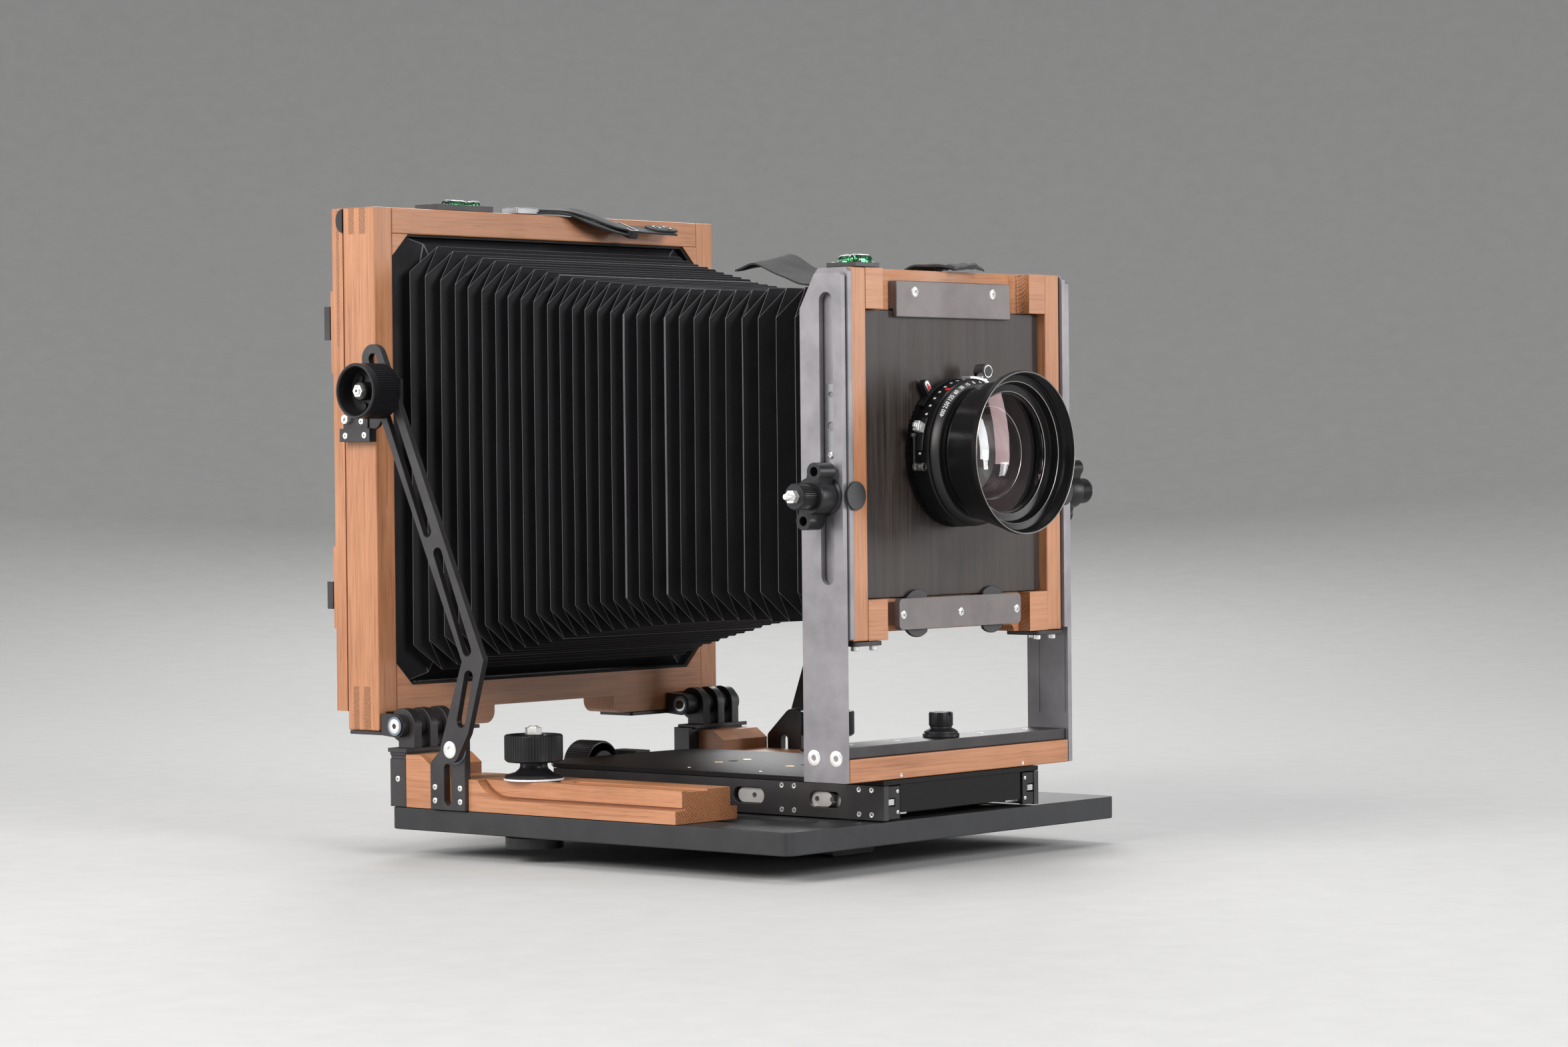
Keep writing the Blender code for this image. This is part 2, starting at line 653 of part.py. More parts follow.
def build_upright(name, side):
    front, rear = STANDARD_Y[0] + 0.1, STANDARD_Y[1] + 0.4
    outline = [(front, 51.6), (rear, 51.6), (rear, 313.7), (-128.4, UPRIGHT_TOP),
               (front + 1.5, UPRIGHT_TOP), (front, UPRIGHT_TOP - 1.5)]
    stretch = spread(side, *UPRIGHT_X)
    upright = add_piece(f"upright_{name}", "front_standard",
                        prism("x", outline, *stretch), BLACK_METAL)
    low, high, radius = UPRIGHT_SLOT
    slot = slot_outline((TILT_AXIS[0], low), (TILT_AXIS[0], high), radius)
    cut(upright, prism("x", slot, stretch[0] - 2, stretch[1] + 2))


def build_riser_plate(name, side):
    front, rear = -148.6, -125.2
    outline = [(front, RISER_Z[0]), (rear, RISER_Z[0]), (rear, RISER_Z[1] - 2),
               (rear - 2, RISER_Z[1]), (front + 2, RISER_Z[1]), (front, RISER_Z[1] - 2)]
    stretch = spread(side, *RISER_X)
    plate = add_piece(f"riser_plate_{name}", "riser", prism("x", outline, *stretch), BLACK_METAL)
    cut(plate, rod("x", TILT_AXIS, 3.4, stretch[0] - 2, stretch[1] + 2, 16))


def build_wing_knob(name, side):
    """Two-lobed clamp knob with its screw through the upright's slot."""
    body = f"wing_knob_{name}"
    profile = [(0, 95.5), (3, 95.5), (3, 104.3), (10.5, 104.3), (10, 116), (7.5, 117),
               (7.5, 132), (3, 132), (3, 136.5), (0, 136.5)]
    knob = add_piece(body, body, turned("x", TILT_AXIS, [(r, side * x) for r, x in profile]),
                     BLACK_METAL)
    lean, reach, radius = WING_LOBES
    axis_y, axis_z = TILT_AXIS
    ends = (axis_y + lean, axis_z - reach), (axis_y - lean, axis_z + reach)
    stretch = spread(side, 106, 120)
    join(knob, prism("x", slot_outline(*ends, radius), *stretch))
    cut(knob, *[rod("x", end, 2.7, stretch[0] - 2, stretch[1] + 2, 12) for end in ends])


# --------------------------------------------------------------- front frame

def front_frame_outline():
    """Frame outline with the underside of the bottom rail raised between round coves."""
    low, high = FRONT_Z
    half = [(59, low + 4.2), (63, low + 3), (66, low), (FRONT_HALF_WIDTH, low),
            (FRONT_HALF_WIDTH, high)]
    return half + [(-x, z) for x, z in reversed(half)]


def build_front_frame():
    low, high = FRONT_Z
    front, rear = FRONT_Y
    frame = add_piece("front_frame", "front_frame",
                      prism("y", front_frame_outline(), front, rear), WOOD)
    seat = BOARD_Y[1] + GAP
    half, *opening = FRONT_OPENING
    inner, *rebate = REBATE_OPENING
    wide, deep = PLATE_RECESS
    recess = (front - 2, front + deep)
    cut(frame, block((-half, half), (front - 2, seat), opening),
        block((-inner, inner), (seat - 1, rear + 2), rebate),
        block((-wide, wide), recess, (low - 2, opening[0] + 1)),
        block((-wide, wide), recess, (opening[1] - 1, high + 2)),
        *[rod("y", (side * CAM_CENTRE[0], CAM_CENTRE[1]), CAM_SHAFT + 0.4, -145, -133)
          for _, side in SIDES])
    board_z = (opening[0] + 0.4, opening[1] - 0.4)
    board = add_piece("lens_board", "front_frame",
                      block((-BOARD_HALF, BOARD_HALF), BOARD_Y, board_z), BOARD)
    cut(board, rod("y", (0, LENS_Z), BOARD_HOLE, BOARD_Y[0] - 2, BOARD_Y[1] + 2, 32))
    build_board_locks()
    add_piece("front_level", "front_frame",
              block((-90, -69), (-146.5, -125.5), (high + GAP, high + 3)), BLACK_METAL)
    build_front_strap()


def build_board_locks():
    """Fixed retainer above the lens board, and a plate with two turning cams below it."""
    profile = [(-144.6, 309.5), (-141.5, 309.5), (-141.5, 314), (-138.7, 314), (-138.7, 330),
               (-144.6, 330)]
    add_piece("top_retainer", "front_frame", prism("x", profile, -52, 52), BLACK_METAL)
    outline = rounded_rectangle((-55.5, 55.5), (134.5, 152), 3)
    plate = add_piece("lock_plate", "front_frame", prism("y", outline, -147.6, -143.8),
                      BLACK_METAL)
    join(plate, *[block((x - 3, x + 3), (-144.5, -138.7), (137, 150)) for x in (-51.5, 0, 51.5)])
    for name, side in SIDES:
        body = f"lock_cam_{name}"
        centre = (side * CAM_CENTRE[0], CAM_CENTRE[1])
        start = 129 if side > 0 else -51
        rim = arc(centre, CAM_RADIUS, start - 258, start, 22)
        cam = add_piece(body, body, prism("y", rim, -143.5, -141.5), BLACK_METAL)
        join(cam, rod("y", centre, CAM_SHAFT, -142, -134))


def build_front_strap():
    """Hook-and-loop band on the front frame, lying back in a hump over the bellows."""
    stations = [((8, -141, 338.6), 0, "x"), ((8, -122, 338.9), 0, "x"),
                ((8, -104, 331.5), 0, "x"), ((7, -75, 330.5), 0, "x"),
                ((5, -45, 334), 0, "x"), ((3, -27, 342), 0, "x"), ((1, -9, 348.2), 0, "x"),
                ((0, 7, 343.5), 0, "x")]
    add_piece("front_strap", "front_frame", ribbon(stations, 34, 3), STRAP)


# --------------------------------------------------------------- lens and shutter

def build_lens():
    axis = (0, LENS_Z)
    board = BOARD_Y[0] - GAP
    shutter = [(BOARD_HOLE, board), (40.3, board), (40.3, -148), (SHUTTER_RADIUS, -148.6),
               (SHUTTER_RADIUS, -157), (40.5, -158), (BOARD_HOLE, -158)]
    add_piece("shutter_body", "front_frame", turned("y", axis, shutter, 32), BLACK_METAL)
    ring = [(31, -158.3), (41, -158.3), (41, -160.2), (38.8, -163.6), (31, -163.6)]
    add_piece("speed_ring", "speed_ring", turned("y", axis, ring, 32), BLACK_METAL)
    rim = LENS_RIM_Y
    barrel = [(24.4, -150), (26.6, -150), (26.6, -164), (38.5, -164), (39, -170),
              (LENS_RIM_RADIUS, rim + 2), (LENS_RIM_RADIUS, rim), (44.6, rim),
              (44, rim + 7), (39.8, rim + 8), (38.6, rim + 12.2), (FRONT_GLASS + 0.8, rim + 12.8),
              (FRONT_GLASS + 0.4, rim + 17.5), (31.5, rim + 17.8), (26, rim + 26),
              (24.4, rim + 27)]
    add_piece("lens_barrel", "front_frame", turned("y", axis, barrel, 32), BLACK_METAL)
    edge = rim + 13.6
    dome = [(FRONT_GLASS * a, edge - 3.2 * (1 - a * a)) for a in (0, 0.35, 0.7, 1)]
    glass = dome + [(FRONT_GLASS, edge + 3.4), (16, edge + 2.6), (0, edge + 2)]
    add_piece("lens_glass", "front_frame", turned("y", axis, glass, 24), GLASS)
    cell = [(20, -141), (26.4, -141), (26.4, -137), (31, -137.2 + GAP), (31, -125), (24, -104),
            (20, -104)]
    add_piece("rear_cell", "front_frame", turned("y", axis, cell, 24), BLACK_METAL)
    build_shutter_levers()


def ring_sector(inner, outer, start, end, steps=8):
    centre = (0, LENS_Z)
    return arc(centre, outer, start, end, steps) + arc(centre, inner, end, start, steps)


def build_shutter_levers():
    """Levers that swing about the lens axis on short curved arms."""
    arm = ring_sector(40.8, 42.4, 60, 140, 12)
    lever = add_piece("aperture_lever", "aperture_lever", prism("y", arm, -147.3, -143), BLACK_METAL)
    join(lever, prism("y", ring_sector(41.6, 51, 123, 130, 2), -147, -143.5))
    arm = ring_sector(42, 44, 60, 92, 6)
    lever = add_piece("cocking_lever", "cocking_lever", prism("y", arm, *LEVER_ARM_Y),
                      STEEL)
    knob = polar(48.5, 73)
    join(lever, prism("y", ring_sector(43.5, 49, 69, 77, 2), -156, -151),
         rod("y", knob, 4.2, -157.5, -149.5, 16))
    arm = ring_sector(42, 44, 150, 178, 5)
    lever = add_piece("release_lever", "release_lever", prism("y", arm, *LEVER_ARM_Y),
                      STEEL)
    join(lever, prism("y", ring_sector(43.5, 50.5, 158, 164, 2), -155, -150.5))


def polar(radius, angle):
    return arc((0, LENS_Z), radius, angle, angle, 1)[0]


# --------------------------------------------------------------- assembly

BODIES = {}


def build_bodies():
    """One empty on each joint's axis, nested as the pieces move."""
    hinge = (0, *HINGE_AXIS)
    make_body("base", (0, 0, 0))
    make_body("rear_carriage", (0, 0, RAIL_LOW), "base")
    make_body("rear_standard", hinge, "rear_carriage")
    make_body("back", (0, BACK_Y[0], LENS_Z), "rear_standard")
    make_body("glass_holder", (0, BACK_Y[1], LENS_Z), "back")
    make_body("bed", (0, BED_FRONT, BED_TOP_Z[1]), "base")
    make_body("focus_knob", (0, BED_REAR, SCREW_AXIS_Z), "base")
    make_body("front_standard", (0, SWING_AXIS_Y, BED_TOP_Z[1]), "bed")
    make_body("swing_knob", (0, SWING_AXIS_Y, CROSSPLATE_Z[1]), "front_standard")
    make_body("riser", (0, *TILT_AXIS), "front_standard")
    make_body("front_frame", (0, *TILT_AXIS), "riser")
    for name in ("speed_ring", "aperture_lever", "cocking_lever", "release_lever"):
        make_body(name, (0, BOARD_Y[0], LENS_Z), "front_frame")
    for name, side in SIDES:
        make_body(f"rail_knob_{name}", (side * RAIL_KNOB[0], RAIL_KNOB[1], RAIL_TOP), "base")
        make_body(f"strut_{name}", (side * STRUT_X[0], *STRUT_PIVOT), "rear_carriage")
        make_body(f"tilt_knob_{name}", (side * STRUT_X[1], *TILT_STUD), "rear_standard")
        make_body(f"wing_knob_{name}", (side * UPRIGHT_X[1], *TILT_AXIS), "riser")
        make_body(f"lock_cam_{name}", (side * CAM_CENTRE[0], BOARD_Y[0], CAM_CENTRE[1]),
                  "front_frame")


clear_scene()
WOOD = make_material("satin_wood", (0.55, 0.26, 0.12), 0.4)
BLACK_METAL = make_material("anodised_aluminium", (0.045, 0.045, 0.05), 0.45, 0.8)
BLACK_PLATE = make_material("matte_black_plate", (0.03, 0.03, 0.033), 0.6, 0.3)
STEEL = make_material("bright_steel", (0.7, 0.7, 0.7), 0.25, 1.0)
GLASS = make_material("optical_glass", (0.8, 0.85, 0.85), 0.05)
BOARD = make_material("laminate_board", (0.09, 0.07, 0.055), 0.5)
BELLOWS_CLOTH = make_material("bellows_cloth", (0.012, 0.012, 0.014), 0.75)
STRAP = make_material("nylon_strap", (0.02, 0.02, 0.022), 0.8)
build_bodies()
build_base()
build_rear_carriage()
build_rear_standard()
build_back()
build_bellows()
build_bed()
build_focus_drive()
build_front_standard()
build_front_frame()
build_lens()
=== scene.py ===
"""Looks of the wooden field camera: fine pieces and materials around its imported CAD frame.

Shapes are drawn in millimetres in the frame of the CAD model: the lens looks along -Y, +Z is
up and the origin is the centre of the tripod plate's resting face.
"""

import math

import bmesh
import bpy
from mathutils import Matrix, Vector, noise


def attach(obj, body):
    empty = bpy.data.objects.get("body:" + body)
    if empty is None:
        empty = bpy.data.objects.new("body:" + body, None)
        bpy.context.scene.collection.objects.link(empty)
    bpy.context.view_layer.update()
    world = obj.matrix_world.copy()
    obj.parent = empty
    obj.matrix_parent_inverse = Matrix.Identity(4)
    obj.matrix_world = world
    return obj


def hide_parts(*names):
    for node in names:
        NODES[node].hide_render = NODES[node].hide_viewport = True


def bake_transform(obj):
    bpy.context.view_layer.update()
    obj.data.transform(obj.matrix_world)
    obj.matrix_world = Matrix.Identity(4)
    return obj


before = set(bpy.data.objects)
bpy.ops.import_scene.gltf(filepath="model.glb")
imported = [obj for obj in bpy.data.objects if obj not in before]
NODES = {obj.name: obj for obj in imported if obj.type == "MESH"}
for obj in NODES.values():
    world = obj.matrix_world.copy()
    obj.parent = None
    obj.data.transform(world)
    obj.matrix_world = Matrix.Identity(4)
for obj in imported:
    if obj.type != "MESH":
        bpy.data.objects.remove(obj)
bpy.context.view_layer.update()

MM = 0.001
SIDES = (("left", -1), ("right", 1))

# Places that several pieces share, in millimetres.
LENS_Z = 233.0
HINGE_AXIS = (159.6, 75.3)       # y, z
TILT_STUD = (159.4, 272.7)       # y, z
STRUT_PIVOT = (106.8, 63.9)      # y, z
FRONT_PIVOT = (-136.4, 210.0)    # y, z
RAIL_KNOB = (131.6, 64.1)        # x to either side, y
LOCK_CAM = (34, 143.1)           # x to either side, z
BED_SLOT_Z = 38.8

CAMERA_PLACE = (-1.8854, -1.6387, 0.2329)
CAMERA_TURN = (-0.8599, -0.0162, -0.0098)    # yaw, pitch and roll in radians
CAMERA_LENS = 97.03              # focal length in millimetres
FLOOR_RADIUS = 1.5               # metres of flat floor, before the studio floor sweeps up
FLOOR_SWEEP = (5.5, 6.0)         # how far out and how high the sweep goes
FLOOR_STEPS, FLOOR_SIDES = 40, 96

KNOB_METAL = "black_knob_aluminium"


def placed(name, data):
    obj = bpy.data.objects.new(name, data)
    bpy.context.collection.objects.link(obj)
    return obj


def quads(rings):
    """The corners of the quads between closed rings that follow each other."""
    for ring, following in zip(rings, rings[1:]):
        for index in range(len(ring)):
            after = (index + 1) % len(ring)
            yield ring[index], ring[after], following[after], following[index]


# ------------------------------------------------------------------ camera, light and floor

def set_up_camera():
    yaw, pitch, roll = CAMERA_TURN
    forward = Vector((-math.sin(yaw) * math.cos(pitch), math.cos(yaw) * math.cos(pitch),
        math.sin(pitch)))
    level = forward.cross(Vector((0, 0, 1))).normalized()
    over = level.cross(forward)
    right = math.cos(roll) * level + math.sin(roll) * over
    up = -math.sin(roll) * level + math.cos(roll) * over
    data = bpy.data.cameras.new("camera")
    data.lens, data.sensor_width = CAMERA_LENS, 36.0
    data.clip_start, data.clip_end = 0.05, 100.0
    camera = placed("camera", data)
    turn = Matrix((right, up, -forward)).transposed().to_4x4()
    camera.matrix_world = Matrix.Translation(CAMERA_PLACE) @ turn
    bpy.context.scene.camera = camera


def add_light(name, place, aim, size, power, colour=(1, 1, 1)):
    data = bpy.data.lights.new(name, "AREA")
    data.shape = "RECTANGLE"
    data.size, data.size_y = size
    data.energy, data.color = power, colour
    light = placed(name, data)
    light.location = place
    light.rotation_mode = "QUATERNION"
    light.rotation_quaternion = (Vector(aim) - Vector(place)).to_track_quat("-Z", "Y")


def set_up_lights():
    centre = (0, 0, 0.2)
    add_light("key_light", (-2.3, 0.1, 1.5), centre, (1.3, 1.3), 66, (1.0, 0.97, 0.94))
    add_light("front_light", (-0.3, -2.6, 1.2), centre, (1.2, 0.9), 50, (0.98, 0.98, 1.0))
    add_light("side_light", (-1.9, 1.8, 0.7), centre, (1.2, 1.2), 13, (0.98, 0.98, 1.0))
    add_light("lens_light", (1.35, -1.45, 0.50), (0, -0.19, 0.233), (0.28, 0.75), 8)
    add_light("top_light", (0.3, 0.3, 2.4), centre, (1.4, 1.4), 26)
    add_light("rear_light", (1.9, 1.7, 1.3), centre, (1.1, 1.1), 22)
    bpy.context.scene.view_settings.view_transform = "Standard"
    world = bpy.data.worlds.new("studio_world")
    bpy.context.scene.world = world
    world.use_nodes = True
    background = world.node_tree.nodes["Background"]
    background.inputs["Color"].default_value = (0.86, 0.87, 0.88, 1)
    background.inputs["Strength"].default_value = 0.42


def build_floor():
    """A flat floor that sweeps up all round, well past the camera and the lights."""
    mesh = bpy.data.meshes.new("floor")
    reach, rise = FLOOR_SWEEP
    shape = bmesh.new()
    rings = []
    for step in range(FLOOR_STEPS + 1):
        radius = FLOOR_RADIUS + reach * step / FLOOR_STEPS
        height = rise * (step / FLOOR_STEPS) ** 3
        rings.append([shape.verts.new((radius * math.cos(math.tau * side / FLOOR_SIDES),
            radius * math.sin(math.tau * side / FLOOR_SIDES), height)) for side in range(FLOOR_SIDES)])
    shape.faces.new(rings[0])
    for inner, inner_next, outer_next, outer in quads(rings):
        shape.faces.new((inner_next, inner, outer, outer_next))
    shape.to_mesh(mesh)
    shape.free()
    mesh.shade_smooth()
    floor = placed("floor", mesh)
    floor.location.z = -0.0005
    paint = Graph("floor_paint")
    grit = paint.noise(paint.place(), 40, 4)
    paint.set(Base_Color=paint.ramp(grit, (0.3, (0.45, 0.45, 0.445)), (0.7, (0.48, 0.48, 0.475))),
        Roughness=0.75)
    mesh.materials.append(paint.material)


# ------------------------------------------------------------------ materials

class Graph:
    """A Principled material with short calls for the nodes that feed it."""

    def __init__(self, name):
        self.material = bpy.data.materials.new(name)
        self.material.use_nodes = True
        self.tree = self.material.node_tree
        self.shader = self.tree.nodes["Principled BSDF"]

    def feed(self, target, value):
        """Link a value that comes from another node, and write any other value."""
        if isinstance(value, bpy.types.NodeSocket):
            self.tree.links.new(value, target)
        elif target.type == "RGBA":
            target.default_value = (*value, 1.0)
        else:
            target.default_value = value

    def set(self, **values):
        for socket, value in values.items():
            self.feed(self.shader.inputs[socket.replace("_", " ")], value)

    def add(self, kind, inputs=None, **settings):
        node = self.tree.nodes.new(kind)
        for name, value in settings.items():
            setattr(node, name, value)
        for socket, value in (inputs or {}).items():
            self.feed(node.inputs[socket], value)
        return node

    def place(self, scale=(1, 1, 1), shift=(0, 0, 0)):
        source = self.add("ShaderNodeTexCoord").outputs["Object"]
        return self.add("ShaderNodeMapping", {"Vector": source, "Scale": scale,
            "Location": shift}).outputs[0]

    def noise(self, vector, scale, detail=4.0, rough=0.6, distortion=0.0):
        return self.add("ShaderNodeTexNoise", {"Vector": vector, "Scale": scale, "Detail": detail,
            "Roughness": rough, "Distortion": distortion}).outputs["Fac"]

    def ramp(self, factor, *stops):
        node = self.add("ShaderNodeValToRGB", {"Fac": factor})
        elements = node.color_ramp.elements
        while len(elements) < len(stops):
            elements.new(0.5)
        for element, (position, colour) in zip(elements, stops):
            element.position = position
            element.color = (*colour, 1.0)
        return node.outputs["Color"]

    def grey(self, factor, low, high, start=0.3, end=0.7):
        return self.add("ShaderNodeMapRange", {"Value": factor, "From Min": start, "From Max": end,
            "To Min": low, "To Max": high}).outputs[0]

    def mix(self, factor, first, second):
        return self.add("ShaderNodeMix", {0: factor, 6: first, 7: second}, data_type="RGBA").outputs[2]

    def math(self, operation, first, second=0.0):
        return self.add("ShaderNodeMath", {0: first, 1: second}, operation=operation).outputs[0]

    def within(self, value, stretches):
        """1 where a value lies in one of the stretches, else 0."""
        found = 0.0
        for low, high in stretches:
            inside = self.math("MULTIPLY", self.math("GREATER_THAN", value, low),
                self.math("LESS_THAN", value, high))
            found = self.math("ADD", found, inside)
        return found

    def bump(self, height, depth, strength=1.0):
        node = self.add("ShaderNodeBump", {"Height": height, "Distance": depth, "Strength": strength})
        self.set(Normal=node.outputs[0])


AXES = {"x": Vector((1, 0, 0)), "y": Vector((0, 1, 0)), "z": Vector((0, 0, 1))}
WOOD_TONES = ((0.30, (0.240, 0.084, 0.030)), (0.46, (0.415, 0.176, 0.080)),
    (0.58, (0.500, 0.228, 0.112)), (0.74, (0.600, 0.300, 0.158)))


def make_wood(name, grain, seed=0.0, fingers=()):
    """Oiled hardwood: fibres and pores along the grain, and end grain where it is cut across.
    fingers are stretches of z, where the ends of a corner joint's fingers show as end grain."""
    wood = Graph(name)
    along = Vector((1, 1, 1)) - AXES[grain] * 0.965
    shift = (seed * 0.37, seed * 0.53, seed * 0.71)
    stretched = wood.place(along, shift)
    fibre = wood.noise(stretched, 620, 6, 0.66, 0.4)
    band = wood.noise(stretched, 95, 3, 0.5, 1.2)
    figure = wood.noise(wood.place((1, 1, 1), shift), 16, 3, 0.5)
    tone = wood.math("ADD", wood.math("MULTIPLY", fibre, 0.55), wood.math("MULTIPLY", band, 0.22))
    tone = wood.math("ADD", tone, wood.math("MULTIPLY", figure, 0.24))
    colour = wood.ramp(tone, *WOOD_TONES)
    pores = wood.noise(wood.place(along - AXES[grain] * 0.013, shift), 1500, 2, 0.5)
    pore_mask = wood.grey(pores, 0.0, 0.55, 0.62, 0.70)
    colour = wood.mix(pore_mask, colour, (0.16, 0.055, 0.020))
    place = wood.place((1, 1, 1), shift)
    growth = wood.add("ShaderNodeTexWave", {"Vector": place, "Scale": 290, "Distortion": 4.5,
        "Detail": 2.0, "Detail Scale": 0.6}, bands_direction="DIAGONAL").outputs["Fac"]
    speckle = wood.noise(place, 900, 4, 0.7)
    rings = wood.math("ADD", wood.math("MULTIPLY", growth, 0.30), wood.math("MULTIPLY", speckle, 0.65))
    cut = wood.ramp(rings, (0.26, (0.15, 0.052, 0.020)), (0.66, (0.42, 0.185, 0.078)))
    normal = wood.add("ShaderNodeTexCoord").outputs["Normal"]
    facing = wood.add("ShaderNodeVectorMath", {0: normal, 1: AXES[grain]}, operation="DOT_PRODUCT")
    across = wood.grey(wood.math("ABSOLUTE", facing.outputs["Value"]), 0.0, 1.0, 0.60, 0.80)
    colour = wood.mix(across, colour, cut)
    if fingers:
        colour = wood.mix(finger_mask(wood, fingers), colour, cut)
    wood.set(Base_Color=colour, Roughness=wood.grey(fibre, 0.36, 0.52), Specular_IOR_Level=0.45,
        Coat_Weight=0.16, Coat_Roughness=0.28)
    wood.bump(wood.math("SUBTRACT", fibre, pore_mask), 0.00006, 0.6)
    return wood.material


def finger_mask(wood, stretches):
    """1 on the two end-grain fingers of each corner joint, by place across and up the side."""
    split = wood.add("ShaderNodeSeparateXYZ",
        {"Vector": wood.add("ShaderNodeTexCoord").outputs["Object"]})
    outer = wood.math("GREATER_THAN", wood.math("ABSOLUTE", split.outputs["X"]), 0.1500)
    across = wood.within(split.outputs["Y"], ((0.1798, 0.1853), (0.1894, 0.1942)))
    level = wood.within(split.outputs["Z"], stretches)
    return wood.math("MULTIPLY", wood.math("MULTIPLY", across, level), outer)


def shade(colour, factor):
    return tuple(min(1.0, channel * factor) for channel in colour)


def make_metal(name, colour, roughness, metallic=1.0, grain=5200, depth=0.000012):
    """Bead-blasted metal with soft mottling."""
    metal = Graph(name)
    fine = metal.noise(metal.place(), grain, 3, 0.6)
    cloudy = metal.noise(metal.place(), 45, 4, 0.6)
    metal.set(Base_Color=metal.ramp(cloudy, (0.3, shade(colour, 0.82)), (0.7, shade(colour, 1.18))),
        Metallic=metallic, Roughness=metal.grey(fine, roughness - 0.03, roughness + 0.03))
    metal.bump(fine, depth, 0.6)
    return metal.material


def make_brushed(name, colour, roughness):
    """Bright metal with fine scratches along Y."""
    metal = Graph(name)
    along = Vector((1, 1, 1)) - AXES["y"] * 0.97
    scratch = metal.noise(metal.place(along), 3500, 3, 0.7)
    metal.set(Base_Color=metal.ramp(scratch, (0.3, shade(colour, 0.85)), (0.7, colour)), Metallic=1.0,
        Roughness=metal.grey(scratch, roughness - 0.06, roughness + 0.08))
    metal.bump(scratch, 0.000006)
    return metal.material


def make_board():
    """Dark laminate with fine upright grain."""
    board = Graph("dark_laminate")
    fine = board.noise(board.place((1, 1, 0.012)), 1500, 4, 0.7)
    broad = board.noise(board.place((1, 1, 0.03)), 170, 3, 0.5)
    tone = board.math("ADD", board.math("MULTIPLY", fine, 0.7), board.math("MULTIPLY", broad, 0.3))
    board.set(Base_Color=board.ramp(tone, (0.36, (0.009, 0.0062, 0.0050)),
        (0.50, (0.030, 0.0215, 0.0180)), (0.62, (0.060, 0.0450, 0.0390))))
    board.set(Roughness=board.grey(fine, 0.40, 0.56))
    board.bump(fine, 0.00002)
    return board.material


def make_cloth(name, colour, weave, roughness=0.62):
    """Coated bellows cloth with a fine plain weave and a little lint."""
    cloth = Graph(name)
    place = cloth.place()
    cloudy = cloth.noise(place, 60, 5, 0.65)
    lint = cloth.noise(place, 1800, 3, 0.6)
    threads = [cloth.add("ShaderNodeTexWave", {"Vector": place, "Scale": weave, "Distortion": 0.6,
        "Detail": 1.0}, bands_direction=axis).outputs["Fac"] for axis in ("Y", "Z")]
    woven = cloth.math("ADD", threads[0], threads[1])
    tone = cloth.ramp(cloudy, (0.3, shade(colour, 0.7)), (0.7, colour))
    cloth.set(Base_Color=cloth.mix(cloth.grey(lint, 0.0, 0.08, 0.55, 0.75), tone, (0.12, 0.12, 0.13)),
        Roughness=cloth.grey(cloudy, roughness - 0.06, roughness + 0.08), Specular_IOR_Level=0.25)
    cloth.bump(woven, 0.000020, 0.5)
    return cloth.material


def make_webbing():
    """Nylon strap: ribs across the band and a fine noise of threads."""
    band = Graph("nylon_webbing")
    place = band.place()
    rib, colour = 0.9, (0.010, 0.010, 0.011)
    ribs = band.add("ShaderNodeTexWave", {"Vector": place, "Scale": 1000 / rib / 3.2,
        "Distortion": 0.4}, bands_direction="X")
    threads = band.noise(place, 2600, 2, 0.5)
    height = band.math("ADD", ribs.outputs["Fac"], band.math("MULTIPLY", threads, 0.5))
    band.set(Base_Color=band.ramp(threads, (0.35, shade(colour, 0.6)), (0.7, shade(colour, 1.9))),
        Roughness=0.72, Sheen_Weight=0.08)
    band.bump(height, 0.00012, 0.7)
    return band.material


def make_fuzz():
    """Hook-and-loop pile."""
    pile = Graph("loop_pile")
    tufts = pile.noise(pile.place(), 1400, 5, 0.8, 1.0)
    pile.set(Base_Color=pile.ramp(tufts, (0.35, (0.005, 0.005, 0.006)), (0.62, (0.045, 0.045, 0.050))),
        Roughness=0.9, Sheen_Weight=0.15, Sheen_Roughness=0.5)
    pile.bump(tufts, 0.0006)
    return pile.material


def make_plain(name, colour, roughness, scale=900, depth=0.00001, **extra):
    """A moulded or painted finish with a little unevenness."""
    paint = Graph(name)
    uneven = paint.noise(paint.place(), scale, 3, 0.6)
    paint.set(Base_Color=paint.ramp(uneven, (0.3, shade(colour, 0.88)), (0.7, shade(colour, 1.1))),
        Roughness=paint.grey(uneven, roughness * 0.9, roughness * 1.1))
    paint.bump(uneven, depth)
    paint.set(**extra)
    return paint.material


def make_glass(name, colour, roughness=0.0, ior=1.52, **extra):
    glass = Graph(name)
    haze = glass.noise(glass.place(), 300, 2)
    glass.set(Base_Color=glass.ramp(haze, (0.2, shade(colour, 0.97)), (0.8, colour)),
        Roughness=roughness, Transmission_Weight=1.0, IOR=ior, **extra)
    return glass.material


# ------------------------------------------------------------------ drawing

def place_on_axis(axis, a, b, along):
    return {"x": (along, a, b), "y": (a, along, b), "z": (a, b, along)}[axis]


def prism(axis, outline, low, high):
    """Extrude an outline along an axis; the outline lists the two other coordinates."""
    shape = bmesh.new()
    start = [shape.verts.new(place_on_axis(axis, a, b, low)) for a, b in outline]
    end = [shape.verts.new(place_on_axis(axis, a, b, high)) for a, b in outline]
    shape.faces.new(start)
    shape.faces.new(end)
    for corners in quads([start, end]):
        shape.faces.new(corners)
    return shape


def block(x, y, z):
    return prism("z", [(x[0], y[0]), (x[1], y[0]), (x[1], y[1]), (x[0], y[1])], *z)


